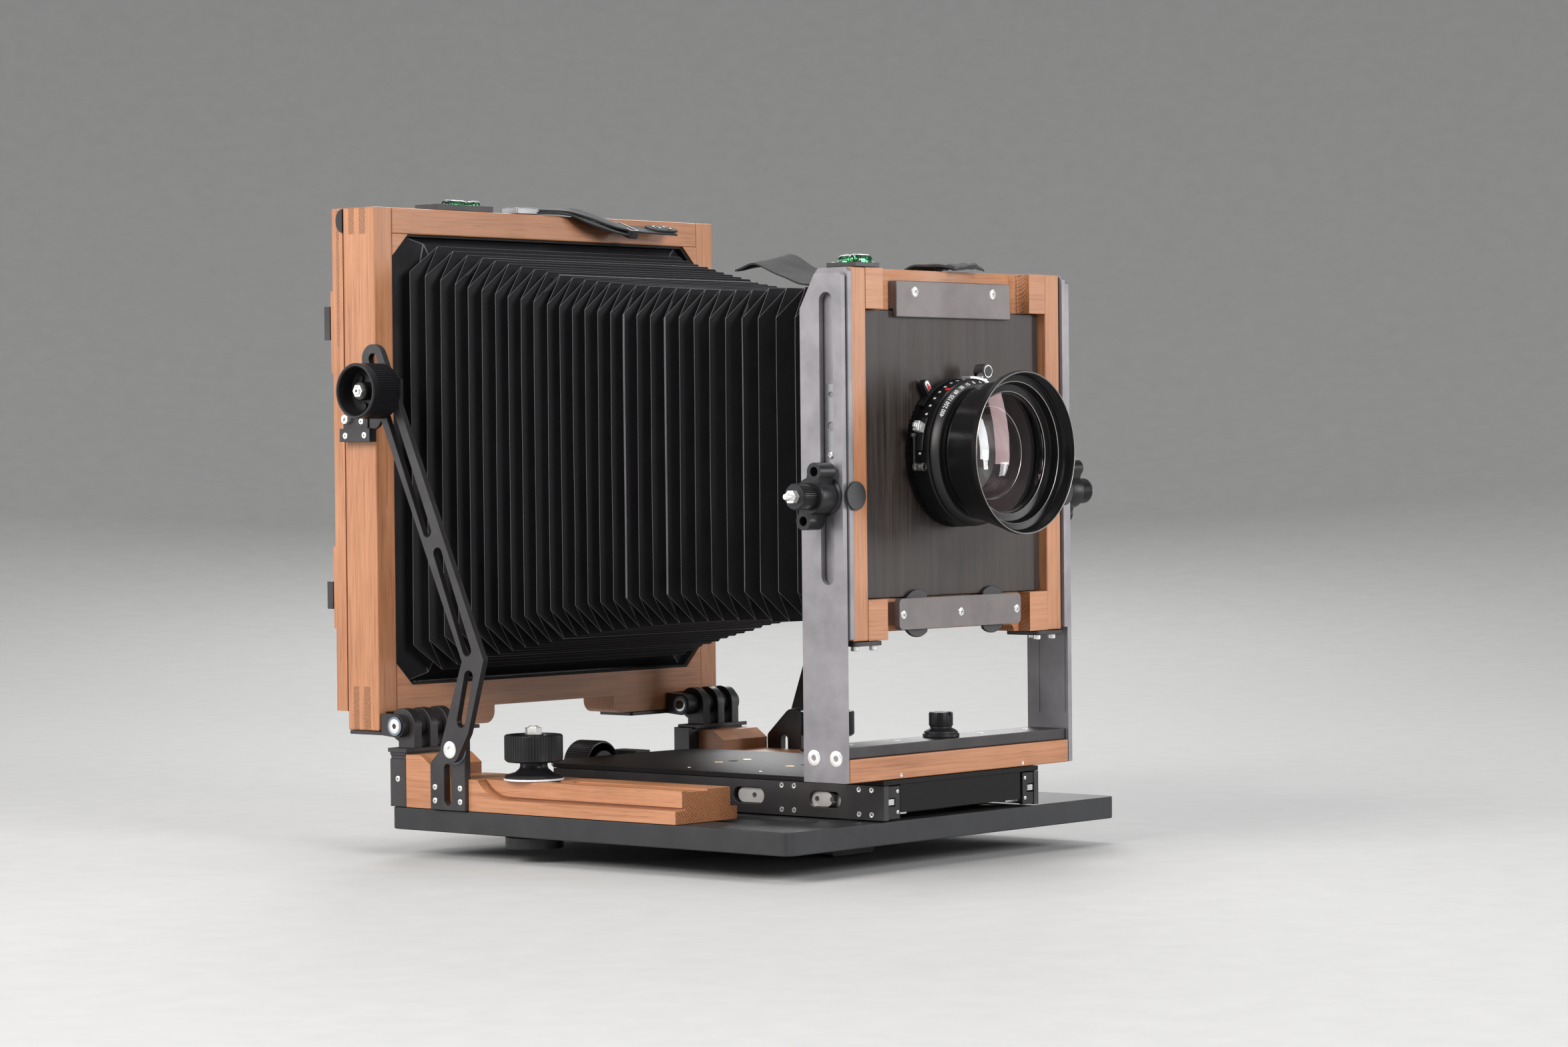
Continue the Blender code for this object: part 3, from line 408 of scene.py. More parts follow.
def turned(axis, centre, profile, segments=64, teeth=0, bite=0.0, knurled=(0, 0)):
    """Turn a closed profile of (radius, place along the axis). Points of the profile that lie
    within the knurled stretch get a straight knurl of so many teeth."""
    if teeth:
        segments = teeth * 4
    shape = bmesh.new()
    rings = []
    for radius, along in profile:
        ring = []
        for index in range(segments if radius > 0 else 1):
            angle = math.tau * index / segments
            cut_in = bite if teeth and knurled[0] <= along <= knurled[1] and index % 4 < 2 else 0
            reach = radius - (cut_in if radius > knurl_floor(profile) else 0)
            a = centre[0] + reach * math.cos(angle)
            b = centre[1] + reach * math.sin(angle)
            ring.append(shape.verts.new(place_on_axis(axis, a, b, along)))
        rings.append(ring)
    for ring, following in zip(rings, rings[1:] + rings[:1]):
        if len(ring) == 1 and len(following) == 1:
            continue
        for index in range(segments):
            after = (index + 1) % segments
            corner = [ring[index % len(ring)], ring[after % len(ring)],
                following[after % len(following)], following[index % len(following)]]
            shape.faces.new(list(dict.fromkeys(corner)))
    return shape


def knurl_floor(profile):
    """Only the outermost skin of a turned profile is knurled."""
    return max(radius for radius, _ in profile) - 1.2


def rod(axis, centre, radius, low, high, segments=48):
    return turned(axis, centre, [(0, low), (radius, low), (radius, high), (0, high)], segments)


def arc(centre, radius, start, end, steps=14):
    points = []
    for index in range(steps + 1):
        angle = math.radians(start + (end - start) * index / steps)
        points.append((centre[0] + radius * math.cos(angle), centre[1] + radius * math.sin(angle)))
    return points


def slot_outline(first, last, radius, steps=16):
    heading = math.degrees(math.atan2(last[1] - first[1], last[0] - first[0]))
    return (arc(last, radius, heading - 90, heading + 90, steps)
        + arc(first, radius, heading + 90, heading + 270, steps))


def rounded_rectangle(x, y, radius):
    corners = ((x[1], y[1], 0), (x[0], y[1], 90), (x[0], y[0], 180), (x[1], y[0], 270))
    points = []
    for corner_x, corner_y, start in corners:
        inward_x = -radius if corner_x == x[1] else radius
        inward_y = -radius if corner_y == y[1] else radius
        points += arc((corner_x + inward_x, corner_y + inward_y), radius, start, start + 90, 8)
    return points


def spread(side, low, high):
    return (low, high) if side > 0 else (-high, -low)


def mirrored(side, profile):
    """A profile of (radius, place along x) on the left or the right side."""
    return [(radius, side * along) for radius, along in profile]


def temporary(shape):
    bmesh.ops.recalc_face_normals(shape, faces=shape.faces)
    mesh = bpy.data.meshes.new("tool")
    shape.to_mesh(mesh)
    shape.free()
    return placed("tool", mesh)


def combined(shape, joins=(), cuts=()):
    """One closed shape, with others joined to it and then cut from it."""
    body = temporary(shape)
    tools = []
    for operation, others in (("UNION", joins), ("DIFFERENCE", cuts)):
        for other in others:
            tool = temporary(other)
            modifier = body.modifiers.new("carve", "BOOLEAN")
            modifier.operation, modifier.solver, modifier.object = operation, "EXACT", tool
            tools.append(tool)
    graph = bpy.context.evaluated_depsgraph_get()
    mesh = bpy.data.meshes.new_from_object(body.evaluated_get(graph))
    result = bmesh.new()
    result.from_mesh(mesh)
    bpy.data.meshes.remove(mesh)
    for obj in [body, *tools]:
        data = obj.data
        bpy.data.objects.remove(obj)
        bpy.data.meshes.remove(data)
    bmesh.ops.remove_doubles(result, verts=result.verts, dist=0.001)
    bmesh.ops.dissolve_limit(result, angle_limit=math.radians(0.6), verts=result.verts,
        edges=result.edges)
    return result


def soften(obj, width, segments=2):
    """Round the sharp edges, so that they catch the light."""
    bevel = obj.modifiers.new("soft_edges", "BEVEL")
    bevel.width, bevel.segments = width * MM, segments
    bevel.limit_method, bevel.angle_limit = "ANGLE", math.radians(28)
    bevel.harden_normals = True
    return obj


def piece(name, body, shape, material, bevel=0.35, replaces=(), smooth=32):
    """Make a piece from a shape in millimetres, and let it ride on its body."""
    bmesh.ops.recalc_face_normals(shape, faces=shape.faces)
    for vertex in shape.verts:
        vertex.co *= MM
    mesh = bpy.data.meshes.new(name)
    shape.to_mesh(mesh)
    shape.free()
    return dressed(name, body, mesh, material, bevel, replaces, smooth)


def dressed(name, body, mesh, material, bevel=0.35, replaces=(), smooth=32):
    mesh.materials.append(material)
    mesh.shade_smooth()
    mesh.set_sharp_from_angle(angle=math.radians(smooth))
    obj = placed(name, mesh)
    if bevel:
        soften(obj, bevel)
    if body:
        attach(obj, body)
    if replaces:
        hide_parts(*replaces)
    return obj


def dress_node(name, material, bevel=0.35):
    """A CAD node keeps its shape; its flat triangles are merged and its edges softened."""
    node = NODES[name]
    node.data.materials.clear()
    node.data.materials.append(material)
    weld = node.modifiers.new("weld", "WELD")
    weld.merge_threshold = 0.00001
    flatten = node.modifiers.new("flatten", "DECIMATE")
    flatten.decimate_type, flatten.angle_limit = "DISSOLVE", math.radians(0.8)
    soften(node, bevel)
    return node


# ------------------------------------------------------------------ screws and nuts

SCREW_MESHES = {}


def cross_recess(radius, depth, top):
    length, width = (-radius, radius), (-radius * 0.2, radius * 0.2)
    return [block(x, y, (top - depth, top + 1)) for x, y in ((length, width), (width, length))]


def hexagon(radius, low, high):
    corners = [math.tau * index / 6 for index in range(6)]
    return prism("z", [(radius * math.cos(turn), radius * math.sin(turn)) for turn in corners], low,
        high)


def screw_shape(kind, radius):
    """A screw head that stands on z = 0 and points up."""
    if kind == "cross":
        head = [(0, -0.4), (radius, -0.4), (radius, 0.05), (radius * 0.86, 0.24), (0, 0.34)]
        cuts = cross_recess(radius * 0.58, 0.55, 0.34)
    elif kind == "countersunk":
        head = [(0, -0.6), (radius, -0.6), (radius, 0.10), (radius * 0.94, 0.22), (radius * 0.5, 0.16),
            (0, 0.16)]
        cuts = [hexagon(radius * 0.40, -0.5, 1)]
    elif kind == "button":
        rise = radius * 0.62
        head = ([(0, -0.3), (radius, -0.3)] + [(radius * math.cos(math.radians(a)),
            rise * math.sin(math.radians(a))) for a in range(0, 90, 12)] + [(0, rise)])
        cuts = [hexagon(radius * 0.42, rise - radius * 0.5, rise + 1)]
    elif kind == "socket":
        rise = radius * 1.15
        head = [(0, -0.3), (radius, -0.3), (radius, rise - 0.3), (radius - 0.3, rise), (0, rise)]
        cuts = [hexagon(radius * 0.52, rise - radius * 0.8, rise + 1)]
    elif kind == "cap_nut":
        rise = radius * 0.75
        head = [(0, -0.3), (radius * 0.62, -0.3), (radius * 0.62, rise + 0.6),
            (radius * 0.5, rise + 1.0), (0, rise + 1.05)]
        return combined(turned("z", (0, 0), head, 32), [hexagon(radius, -0.1, rise)],
            [hexagon(radius * 0.26, rise, rise + 2)])
    else:
        rise = radius * 0.9
        head = [(0, -0.3), (radius * 0.55, -0.3), (radius * 0.55, rise * 1.9),
            (radius * 0.40, rise * 2.2), (0, rise * 2.25)]
        return combined(turned("z", (0, 0), head, 32), [hexagon(radius, -0.1, rise)])
    return combined(turned("z", (0, 0), head, 32), (), cuts)


def screw(name, body, place, direction, kind="cross", radius=1.6, turn=0.0):
    """A fastener at a place in millimetres, whose head faces a direction."""
    key = (kind, radius)
    if key not in SCREW_MESHES:
        shape = screw_shape(kind, radius)
        for vertex in shape.verts:
            vertex.co *= MM
        mesh = bpy.data.meshes.new(f"screw_{kind}_{len(SCREW_MESHES)}")
        shape.to_mesh(mesh)
        shape.free()
        mesh.materials.append(SCREW_STEEL)
        mesh.shade_smooth()
        mesh.set_sharp_from_angle(angle=math.radians(35))
        SCREW_MESHES[key] = mesh
    obj = placed(name, SCREW_MESHES[key])
    facing = Vector(direction).to_track_quat("Z", "Y")
    spun = Matrix.Rotation(turn, 4, "Z")
    obj.matrix_world = Matrix.Translation(Vector(place) * MM) @ facing.to_matrix().to_4x4() @ spun
    soften(obj, 0.07, 1)
    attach(obj, body)
    return obj


def screws(name, body, places, direction, kind="cross", radius=1.6):
    for index, place in enumerate(places):
        screw(f"{name}_{index + 1}", body, place, direction, kind, radius, 0.5 + 0.9 * index)


def washer(name, body, axis, centre, inner, outer, low, high, material):
    profile = [(inner, low), (outer, low), (outer, high), (inner, high)]
    return piece(name, body, turned(axis, centre, profile, 64), material, 0.12)


# ------------------------------------------------------------------ base and rear carriage

def dress_base():
    dress_node("base_plate", BASE_BLACK, 0.9)
    dress_node("tripod_plate", BLACK, 0.4)
    dress_node("bed_core", BLACK, 0.4)
    dress_node("lead_screw", STEEL_Y, 0.2)
    for name, side in SIDES:
        dress_node(f"slide_{name}", SATIN_STEEL, 0.25)
        screw(f"tripod_plate_screw_{name}", "base", (0, side * 22, 0.28), (0, 0, -1), "countersunk",
            2.6)
        screws(f"slide_end_screw_{name}", "base", [(side * 60, -143.6, 38)], (0, -1, 0), "cross", 1.5)
    fringe = rounded_rectangle((-14, 14), (-46, 46), 3)
    piece("tripod_plate_pad", "base", combined(prism("z", fringe, 14.2, 14.7)), RUBBER, 0.2)


def rail_piece(side):
    """Rail with a ledge along its outer foot, which sweeps up in a cove to the rear block."""
    section = [(98, 28.1), (149.9, 28.1), (149.9, 46.5), (103.8, 46.5), (103.8, 35.3), (98, 35.3)]
    rail = prism("y", [(side * x, z) for x, z in section], -62.6, 131)
    raised = [(130, 28.1), (150.9, 28.1), (150.9, 59), (138.4, 59), (130, 53.3)]
    foot = [(-70, 35.5), (70, 35.5)] + arc((70, 63.5), 28, -90, -14, 16)
    above = [(-70, 37.2), (70, 37.2)] + arc((70, 63.5), 26.3, -90, -14, 16)
    ledge = foot + [(100, 70), (-70, 70)]
    groove = foot + above[::-1]
    middle, knob_y = side * RAIL_KNOB[0], RAIL_KNOB[1]
    slot = slot_outline((middle, knob_y), (middle, -50), 4.4)
    hollow = slot_outline((middle, 30), (middle, -64), 8.5)
    return combined(rail, [prism("x", raised, *spread(side, 108, 149.9))],
        [prism("x", ledge, *spread(side, 144.3, 160)), prism("z", slot, 20, 60),
        prism("x", groove, *spread(side, 141.8, 144.6)), prism("z", hollow, 45.6, 60),
        block(spread(side, 147.4, 160), (99.2, 128.2), (20, 62))])


def build_rear_carriage():
    for name, side in SIDES:
        body = "rear_carriage"
        piece(f"rail_wood_{name}", body, rail_piece(side), WOODS["y", side], 0.75, [f"rail_{name}"])
        build_hinge_block(name, side)
        build_post(name, side)
        build_rail_knob(name, side)


def build_hinge_block(name, side):
    y, z = HINGE_AXIS
    profile = [(162.6, 60.4), (162.6, 66)] + arc((y, z), 10.4, -38, 180, 30) + [(y - 10.4, 60.4)]
    knuckles = [prism("x", profile, *spread(side, *stretch)) for stretch in ((110.8, 117.2),
        (124.8, 131.0), (138.2, 144.5))]
    cap = block(spread(side, 103, 151.8), (148.5, 164.2), (60.2, 62.6))
    cuts = [rod("x", (y, z), 3.1, *spread(side, 96, 156)), block(spread(side, 149.2, 153), (148, 165),
        (56.2, 58.2))]
    body = combined(block(spread(side, 99.3, 150), (151.2, 164.2), (28.1, 61)), [cap, *knuckles], cuts)
    piece(f"hinge_block_fine_{name}", "rear_carriage", body, BLACK, 0.45, [f"hinge_block_{name}"])
    screws(f"hinge_block_screw_{name}", "rear_carriage", [(side * 150.1, 157.7, 44.5)], (side, 0, 0),
        "cross", 1.8)


def build_post(name, side):
    y, z = STRUT_PIVOT
    outline = ([(99.5, 28.1), (127.9, 28.1), (127.9, 52.6)] + arc((123, 53.4), 4.9, -5, 30, 3)
        + arc((y, z), 8, 45, 105, 10) + [(99.5, 69.5)])
    stretch = spread(side, 147.7, 152.7)
    post = combined(prism("x", outline, *stretch), [rod("x", (y, z), 4.4, *spread(side, 151.7, 157.4))],
        [prism("x", slot_outline((113.7, 33.9), (113.7, 52.2), 2.85), *spread(side, 140, 160)),
        rod("x", (y, z), 2.0, *spread(side, 154, 160))])
    piece(f"strut_post_fine_{name}", "rear_carriage", post, BLACK, 0.4, [f"strut_post_{name}"])
    places = [(side * 152.8, py, pz) for py in (103.4, 124.0) for pz in (33.4, 41.3)]
    screws(f"post_screw_{name}", "rear_carriage", places, (side, 0, 0), "cross", 1.75)
    screw(f"strut_pivot_screw_{name}", "rear_carriage", (side * 157.5, y, z), (side, 0, 0),
        "countersunk", 5.0)
    washer(f"strut_pivot_washer_{name}", "rear_carriage", "x", (y, z), 4.8, 8.6,
        *spread(side, 152.75, 153.2), BLUE_WASHER)


def build_rail_knob(name, side):
    axis = (side * RAIL_KNOB[0], RAIL_KNOB[1])
    profile = [(0, 7.5), (16.4, 7.5), (17, 8.1), (17, 13.9), (16.4, 14.5), (4, 14.5), (4, 47.9),
        (17, 47.9), (17, 48.9), (16.2, 49.8), (11, 51.2), (8.6, 53.2), (8, 54.6), (8, 56.4),
        (9.5, 57.2), (15.4, 57.2), (16.6, 58.2), (17, 58.9), (17, 72.0), (16.6, 72.7), (16, 73),
        (14.4, 73), (13.8, 72.2), (13.2, 69.5), (5.8, 69.5), (5.8, 73.2), (0, 73.2)]
    body = f"rail_knob_{name}"
    shape = turned("z", axis, profile, teeth=62, bite=0.55, knurled=(58.6, 72.2))
    piece(body + "_grip", body, shape, KNOB_BLACK, 0, [body], 28)
    washer(body + "_washer", body, "z", axis, 4.1, 17.4, 46.75, 47.85, PALE_PLASTIC)
    screw(body + "_nut", body, (*axis, 73.2), (0, 0, 1), "cap_nut", 5.0)


# ------------------------------------------------------------------ rear standard

def member(name, body, x, y, z, grain, seed, cuts=(), joins=(), bevel=0.7, replaces=()):
    """A straight wooden member that spans x, y and z."""
    shape = combined(block(x, y, z), joins, cuts)
    return piece(name, body, shape, WOODS[grain, seed], bevel, replaces)


def build_rear_frame():
    body, y = "rear_standard", (173.0, 199.0)
    for name, side in SIDES:
        recess = block(spread(side, 110, 144), (160, 210), (60, 82.7))
        stile = combined(block(spread(side, 135, 150.4), y, (72, 382)), (), [recess])
        piece(f"rear_stile_{name}", body, stile, WOODS["fingers"], 0.9)
        for level, corner in (("lower", 98.0), ("upper", 366.5)):
            rise = 13 if level == "lower" else -13
            outline = [(side * 135, corner), (side * 122, corner), (side * 135, corner + rise)]
            piece(f"rear_gusset_{level}_{name}", body, prism("y", outline, 173.0, 198.9),
                WOODS["x", side], 0.15)
    foot = [(-110, 72), (-60, 72)] + arc((-60, 79), 7, -90, 0, 10)[1:] + [(-53, 83.5), (-110, 83.5)]
    feet = [prism("y", foot, 173.05, 198.95), prism("y", [(-x, z) for x, z in foot], 173.05, 198.95)]
    bottom = combined(block((-135, 135), y, (82.7, 98)), feet)
    piece("rear_bottom_rail", body, bottom, WOODS["x", 1], 0.9, ["rear_frame"])
    piece("rear_top_rail", body, block((-135, 135), y, (366.5, 382)), WOODS["x", -1], 0.9)
    lining = combined(prism("y", frame_octagon(134.9, 98.1, 366.4, 13), 174.6, 198.6), (),
        [prism("y", frame_octagon(133.6, 99.4, 365.1, 12.4), 160, 210)])
    piece("rear_frame_lining", body, lining, MATTE_BLACK, 0.15)


def frame_octagon(half_width, low, high, chamfer):
    half = [(half_width - chamfer, low), (half_width, low + chamfer), (half_width, high - chamfer),
        (half_width - chamfer, high)]
    return half + [(-x, z) for x, z in reversed(half)]


def build_hinge_leaf(name, side):
    y, z = HINGE_AXIS
    low, top = 69.6, 82.4
    profile = [(171.8, low), (171.8, top)] + arc((y, z), 6.7, 90, 270, 24) + [(y, z - 6.7)]
    lugs = [prism("x", profile, *spread(side, *stretch)) for stretch in ((101.0, 110.4), (117.6, 124.4),
        (131.4, 137.8), (144.9, 149.5))]
    plate = rounded_rectangle(spread(side, 67, 150), (171, 199), 2)
    leaf = combined(prism("z", plate, low, 71.7), [block(spread(side, 110.4, 143.6), (171.2, 198.6),
        (69.8, top)), *lugs, rod("x", (y, z), 2.8, *spread(side, 99, 150.5))])
    piece(f"hinge_leaf_fine_{name}", "rear_standard", leaf, BLACK, 0.4, [f"hinge_leaf_{name}"])
    for end, x, facing in (("outer", 150.3, side), ("inner", 100.6, -side)):
        washer(f"hinge_washer_{end}_{name}", "rear_standard", "x", (y, z), 2.8, 5.6,
            *spread(side, *sorted((x, x + 0.5 * facing * side))), BLUE_WASHER)
        screw(f"hinge_bolt_{end}_{name}", "rear_standard", (side * (x + 0.5 * facing * side), y, z),
            (facing, 0, 0), "countersunk", 4.3)


def build_tilt_bracket(name, side):
    outline = [(172, 243), (197.4, 243), (197.4, 251), (190, 255), (177, 262), (168.5, 279.8),
        (149, 279.8), (149, 266), (160, 263), (168, 252), (172, 250)]
    plate = spread(side, 150.7, 153.0)
    pad = block(spread(side, 150.7, 156.4), (172, 197.4), (243.2, 251))
    step = block(spread(side, 150.7, 154.0), (176, 196.6), (250, 259.6))
    pivot = rod("x", TILT_STUD, 2.2, *spread(side, 152.5, 178.2), 32)
    boss = rod("x", TILT_STUD, 7.5, *spread(side, 151, 153.1), 40)
    bracket = combined(prism("x", outline, *plate), [pad, step, pivot, boss])
    piece(f"tilt_bracket_fine_{name}", "rear_standard", bracket, BLACK, 0.4, [f"tilt_bracket_{name}"])
    places = [(side * 156.5, 192.6, 246.8), (side * 156.5, 176.5, 247.0)]
    screws(f"tilt_bracket_screw_{name}", "rear_standard", places, (side, 0, 0), "cross", 1.9)
    screw(f"tilt_stop_screw_{name}", "rear_standard", (side * 154.0, 192.6, 256.6), (side, 0, 0),
        "socket", 2.8)
    screw(f"tilt_lock_screw_{name}", "rear_standard", (side * 154.0, 181.5, 255.2), (side, 0, 0),
        "cross", 1.9)
    cup, hub = 168.2, 176.0
    profile = [(2.6, 157.9), (15.6, 157.9), (16.25, 158.6), (16.25, 174.6), (16.25, 175.2),
        (16.25, 179.2), (15.6, 180), (14.8, 180), (14.2, 179.3), (13.6, cup + 1), (12.8, cup),
        (5.5, cup), (5.5, hub - 0.6), (5.0, hub), (2.6, hub)]
    body = f"tilt_knob_{name}"
    shape = turned("x", TILT_STUD, mirrored(side, profile), teeth=66, bite=0.5,
        knurled=spread(side, 158.4, 174.7))
    piece(body + "_grip", body, shape, KNOB_BLACK, 0, [body], 28)
    for index in range(3):
        angle = math.radians(50 + 120 * index)
        spot = (TILT_STUD[0] + 9.6 * math.cos(angle), TILT_STUD[1] + 9.6 * math.sin(angle))
        plug = combined(rod("x", spot, 2.2, *spread(side, cup - 1, cup + 1.6), 32))
        piece(f"{body}_plug_{index + 1}", body, plug, KNOB_BLACK, 0.2)
    screw(body + "_nut", body, (side * (hub - 1.2), *TILT_STUD), (side, 0, 0), "cap_nut", 3.9)


def build_strut(name, side):
    top = (168, 291.7)
    outline = (arc(top, 8.75, -23.5, 156.5, 28) + [(78.7, 116.4), (91.8, 73.7)]
        + arc(STRUT_PIVOT, 7.8, -140, 15, 24) + [(96.3, 115.3)])
    slots = (((167.6, 291.7), (123.7, 190.5)), ((115.2, 177.7), (92.1, 121.9)),
        ((90.9, 106.9), (97.5, 80.5)))
    strut = combined(prism("x", outline, *spread(side, 153.3, 157.3)), (),
        [rod("x", STRUT_PIVOT, 4.75, *spread(side, 150, 160))] + [prism("x", slot_outline(*ends, 3.5),
        *spread(side, 150, 160)) for ends in slots])
    body = f"strut_{name}"
    piece(body + "_fine", body, strut, BLACK, 0.45, [body])


def dress_vial(name, body, centre, axis, length, radius=3.8):
    """A spirit vial: clear shell, green liquid, two rings and a bubble."""
    along = {"x": 0, "y": 1}[axis]
    middle = centre[along]
    cross = (centre[1], centre[2]) if axis == "x" else (centre[0], centre[2])
    half = length / 2
    shell = [(0, middle - half)]
    for degrees in range(15, 91, 15):
        turn = math.radians(degrees)
        shell.append((radius * math.sin(turn), middle - half + radius * (1 - math.cos(turn))))
    shell += [(r, 2 * middle - place) for r, place in reversed(shell)]
    liquid = [(r * 0.84, middle + (place - middle) * 0.95) for r, place in shell]
    piece(name + "_glass", body, turned(axis, cross, shell, 40), CLEAR, 0)
    piece(name + "_liquid", body, turned(axis, cross, liquid, 40), GREEN, 0)
    for index, offset in enumerate((-3.2, 3.2)):
        ring = [(radius * 0.86, middle + offset - 0.3), (radius * 0.93, middle + offset - 0.3),
            (radius * 0.93, middle + offset + 0.3), (radius * 0.86, middle + offset + 0.3)]
        piece(f"{name}_line_{index + 1}", body, turned(axis, cross, ring, 40), KNOB_BLACK, 0)
    bubble = [(0, middle - 3)]
    for degrees in range(20, 161, 20):
        turn = math.radians(degrees)
        bubble.append((1.5 * math.sin(turn), middle - 3 * math.cos(turn)))
    bubble.append((0, middle + 3))
    high = (cross[0], cross[1] + radius * 0.60)
    piece(name + "_bubble", body, turned(axis, high, bubble, 24), PALE_PLASTIC, 0)


def build_levels():
    dress_node("rear_level", BLACK, 0.3)
    dress_node("front_level", BLACK, 0.3)
    dress_vial("rear_vial_long", "rear_standard", (-69.5, 186.5, 386.2), "x", 20, 3.1)
    dress_vial("rear_vial_short", "rear_standard", (-54, 186.5, 386.2), "y", 12, 3.1)
    dress_vial("front_vial_across", "front_frame", (-79.5, -141.6, 340.6), "x", 17, 3.1)
    dress_vial("front_vial_along", "front_frame", (-79.5, -131.4, 340.6), "y", 11, 3.1)
    screws("front_level_screw", "front_frame", [(-87.5, -128.5, 339.3), (-71.5, -144, 339.3)],
        (0, 0, 1), "cross", 1.0)
    screws("rear_level_screw", "rear_standard", [(-90, 186.5, 386.0), (-83.5, 186.5, 386.0)], (0, 0, 1),
        "cross", 1.3)


# ------------------------------------------------------------------ straps

def smooth_path(stations, steps=10):
    """Catmull-Rom points through stations, which are tuples of any length."""
    padded = [stations[0], *stations, stations[-1]]
    points = []
    for before, start, end, after in zip(padded, padded[1:], padded[2:], padded[3:]):
        for index in range(steps):
            t = index / steps
            points.append(tuple(0.5 * (2 * s + (e - b) * t + (2 * b - 5 * s + 4 * e - a) * t * t
                + (3 * s - b - 3 * e + a) * t ** 3) for b, s, e, a in zip(before, start, end, after)))
    points.append(stations[-1])
    return points


def band(path, width, thickness, flat, columns=6, cup=0.0):
    """A woven band along (x, y, z, lean) points; lean turns its width about its run."""
    shape = bmesh.new()
    rings = []
    for x, y, z, lean in path:
        angle = math.radians(lean)
        across = flat * math.cos(angle) + Vector((0, 0, 1)) * math.sin(angle)
        normal = Vector((0, 0, 1)) * math.cos(angle) - flat * math.sin(angle)
        upper, lower = [], []
        for column in range(columns + 1):
            place = 2 * column / columns - 1
            middle = Vector((x, y, z)) + across * (place * width / 2) + normal * (cup * place * place)
            half = thickness / 2 * (1 - 0.35 * abs(place) ** 6)
            upper.append(shape.verts.new(middle + normal * half))
            lower.append(shape.verts.new(middle - normal * half))
        rings.append(upper + lower[::-1])
    for corners in quads(rings):
        shape.faces.new(corners)
    shape.faces.new(rings[0])
    shape.faces.new(rings[-1])
    return shape


def leaned(shape, place, degrees):
    """Turn a shape that was drawn about y = z = 0, and move it to its (y, z) place."""
    turn = Matrix.Rotation(math.radians(degrees), 3, "X")
    for vertex in shape.verts:
        vertex.co = turn @ vertex.co + Vector((0, *place))
    return shape


def build_handle_strap():
    body, flat = "rear_standard", Vector((0, 1, 0))
    plate = combined(prism("z", rounded_rectangle((-27, -7), (174.6, 189.4), 1.5), 382.3, 386.2))
    piece("strap_clamp", body, plate, PLATED, 0.5, ["handle_strap"])
    screw("strap_clamp_screw", body, (-17, 182, 386.2), (0, 0, 1), "cross", 2.4)
    upper = [(-9, 182, 384.9, 0), (2, 181, 385.5, 3), (16, 177, 385.6, 10), (28, 171.0, 383.8, 26),
        (40, 165.3, 379.8, 29), (54, 163.5, 376.8, 24), (66, 163.3, 375.5, 20), (84, 163.4, 374.9, 18),
        (99, 163.5, 374.7, 18)]
    lower = [(-9, 181, 383.4, 0), (4, 178.5, 384.0, 4), (14, 174.5, 383.9, 14), (24, 168.6, 380.8, 28),
        (38, 163.4, 376.2, 27), (50, 163.0, 373.8, 23), (58, 163.2, 373.2, 20)]
    strap = piece("handle_strap_upper", body, band(smooth_path(upper), 14.5, 1.6, flat), WEBBING, 0)
    under = piece("handle_strap_lower", body, band(smooth_path(lower), 14.5, 1.5, flat), WEBBING, 0)
    buckle = combined(prism("z", rounded_rectangle((53.5, 61.5), (-9, 9), 1.2), -3.2, 2.2), (),
        [block((55.6, 59.4), (-7.5, 7.5), (-5, 5))])
    piece("strap_buckle", body, leaned(buckle, (163.3, 374.9), 21), BLACK, 0.6)
    spots = (86, 96)
    tip = combined(prism("z", slot_outline((84, 0), (97.5, 0), 6.0), 0.9, 2.3), (),
        [rod("z", (x, 0), 1.9, 0, 5) for x in spots])
    end = (163.4, 374.9)
    piece("strap_tongue", body, leaned(tip, end, 18), RUBBER, 0.4)
    for index, x in enumerate(spots):
        eyelet = [(1.9, 0.8), (3.2, 0.8), (3.2, 2.7), (1.9, 2.7)]
        piece(f"strap_eyelet_{index + 1}", body, leaned(turned("z", (x, 0), eyelet, 32), end, 18),
            BLACK, 0.15)


def build_front_strap():
    """The strap lies on the front frame, and further back it follows the bellows under it."""
    along = Vector((1, 0, 0))
    path = smooth_path([(9, -143.5, 338.4, 0), (9, -133, 339.6, 0), (8.5, -120, 339.3, 0),
        (8, -104, 332.8, 0), (7, -75, 331.0, 0), (5, -46, 332.6, 5), (3, -27, 339.0, 9),
        (1, -13, 346.0, 11), (0, -5, 347.4, 11), (-1, 6, 344.0, 9)], 8)
    rings = bellows_rings()
    frame_end, riser_end, standard_end = (rings[index][0][1] for index in (58, 50, 40))
    middle = next(index for index, point in enumerate(path) if point[1] > riser_end)
    edge = [(13, -146, 338.2, 0), (13, -140, 339.8, 6), (12, -131, 338.9, 3)]
    tuft = piece("loop_strap_end", "front_frame", band(smooth_path(edge, 8), 26, 1.8, along, 12, -1.2),
        FUZZ, 0)
    for vertex in tuft.data.vertices:
        vertex.co.z += abs(noise.noise(vertex.co * 210)) * 0.0022
    runs = (("front", path[:middle + 1], ("front_frame", "riser"), frame_end, riser_end, [tuft]),
        ("rear", path[middle:], ("riser", "front_standard"), riser_end, standard_end, []))
    for name, run, bodies, start, end, extra in runs:
        strap = piece(f"loop_strap_{name}", None, band(run, 33, 1.6, along, 10, 0.6), FUZZ, 0,
            ["front_strap"] if name == "front" else ())
        for vertex in strap.data.vertices:
            vertex.co.z += noise.noise(vertex.co * 90) * 0.0009
        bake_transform(strap)


# ------------------------------------------------------------------ bellows

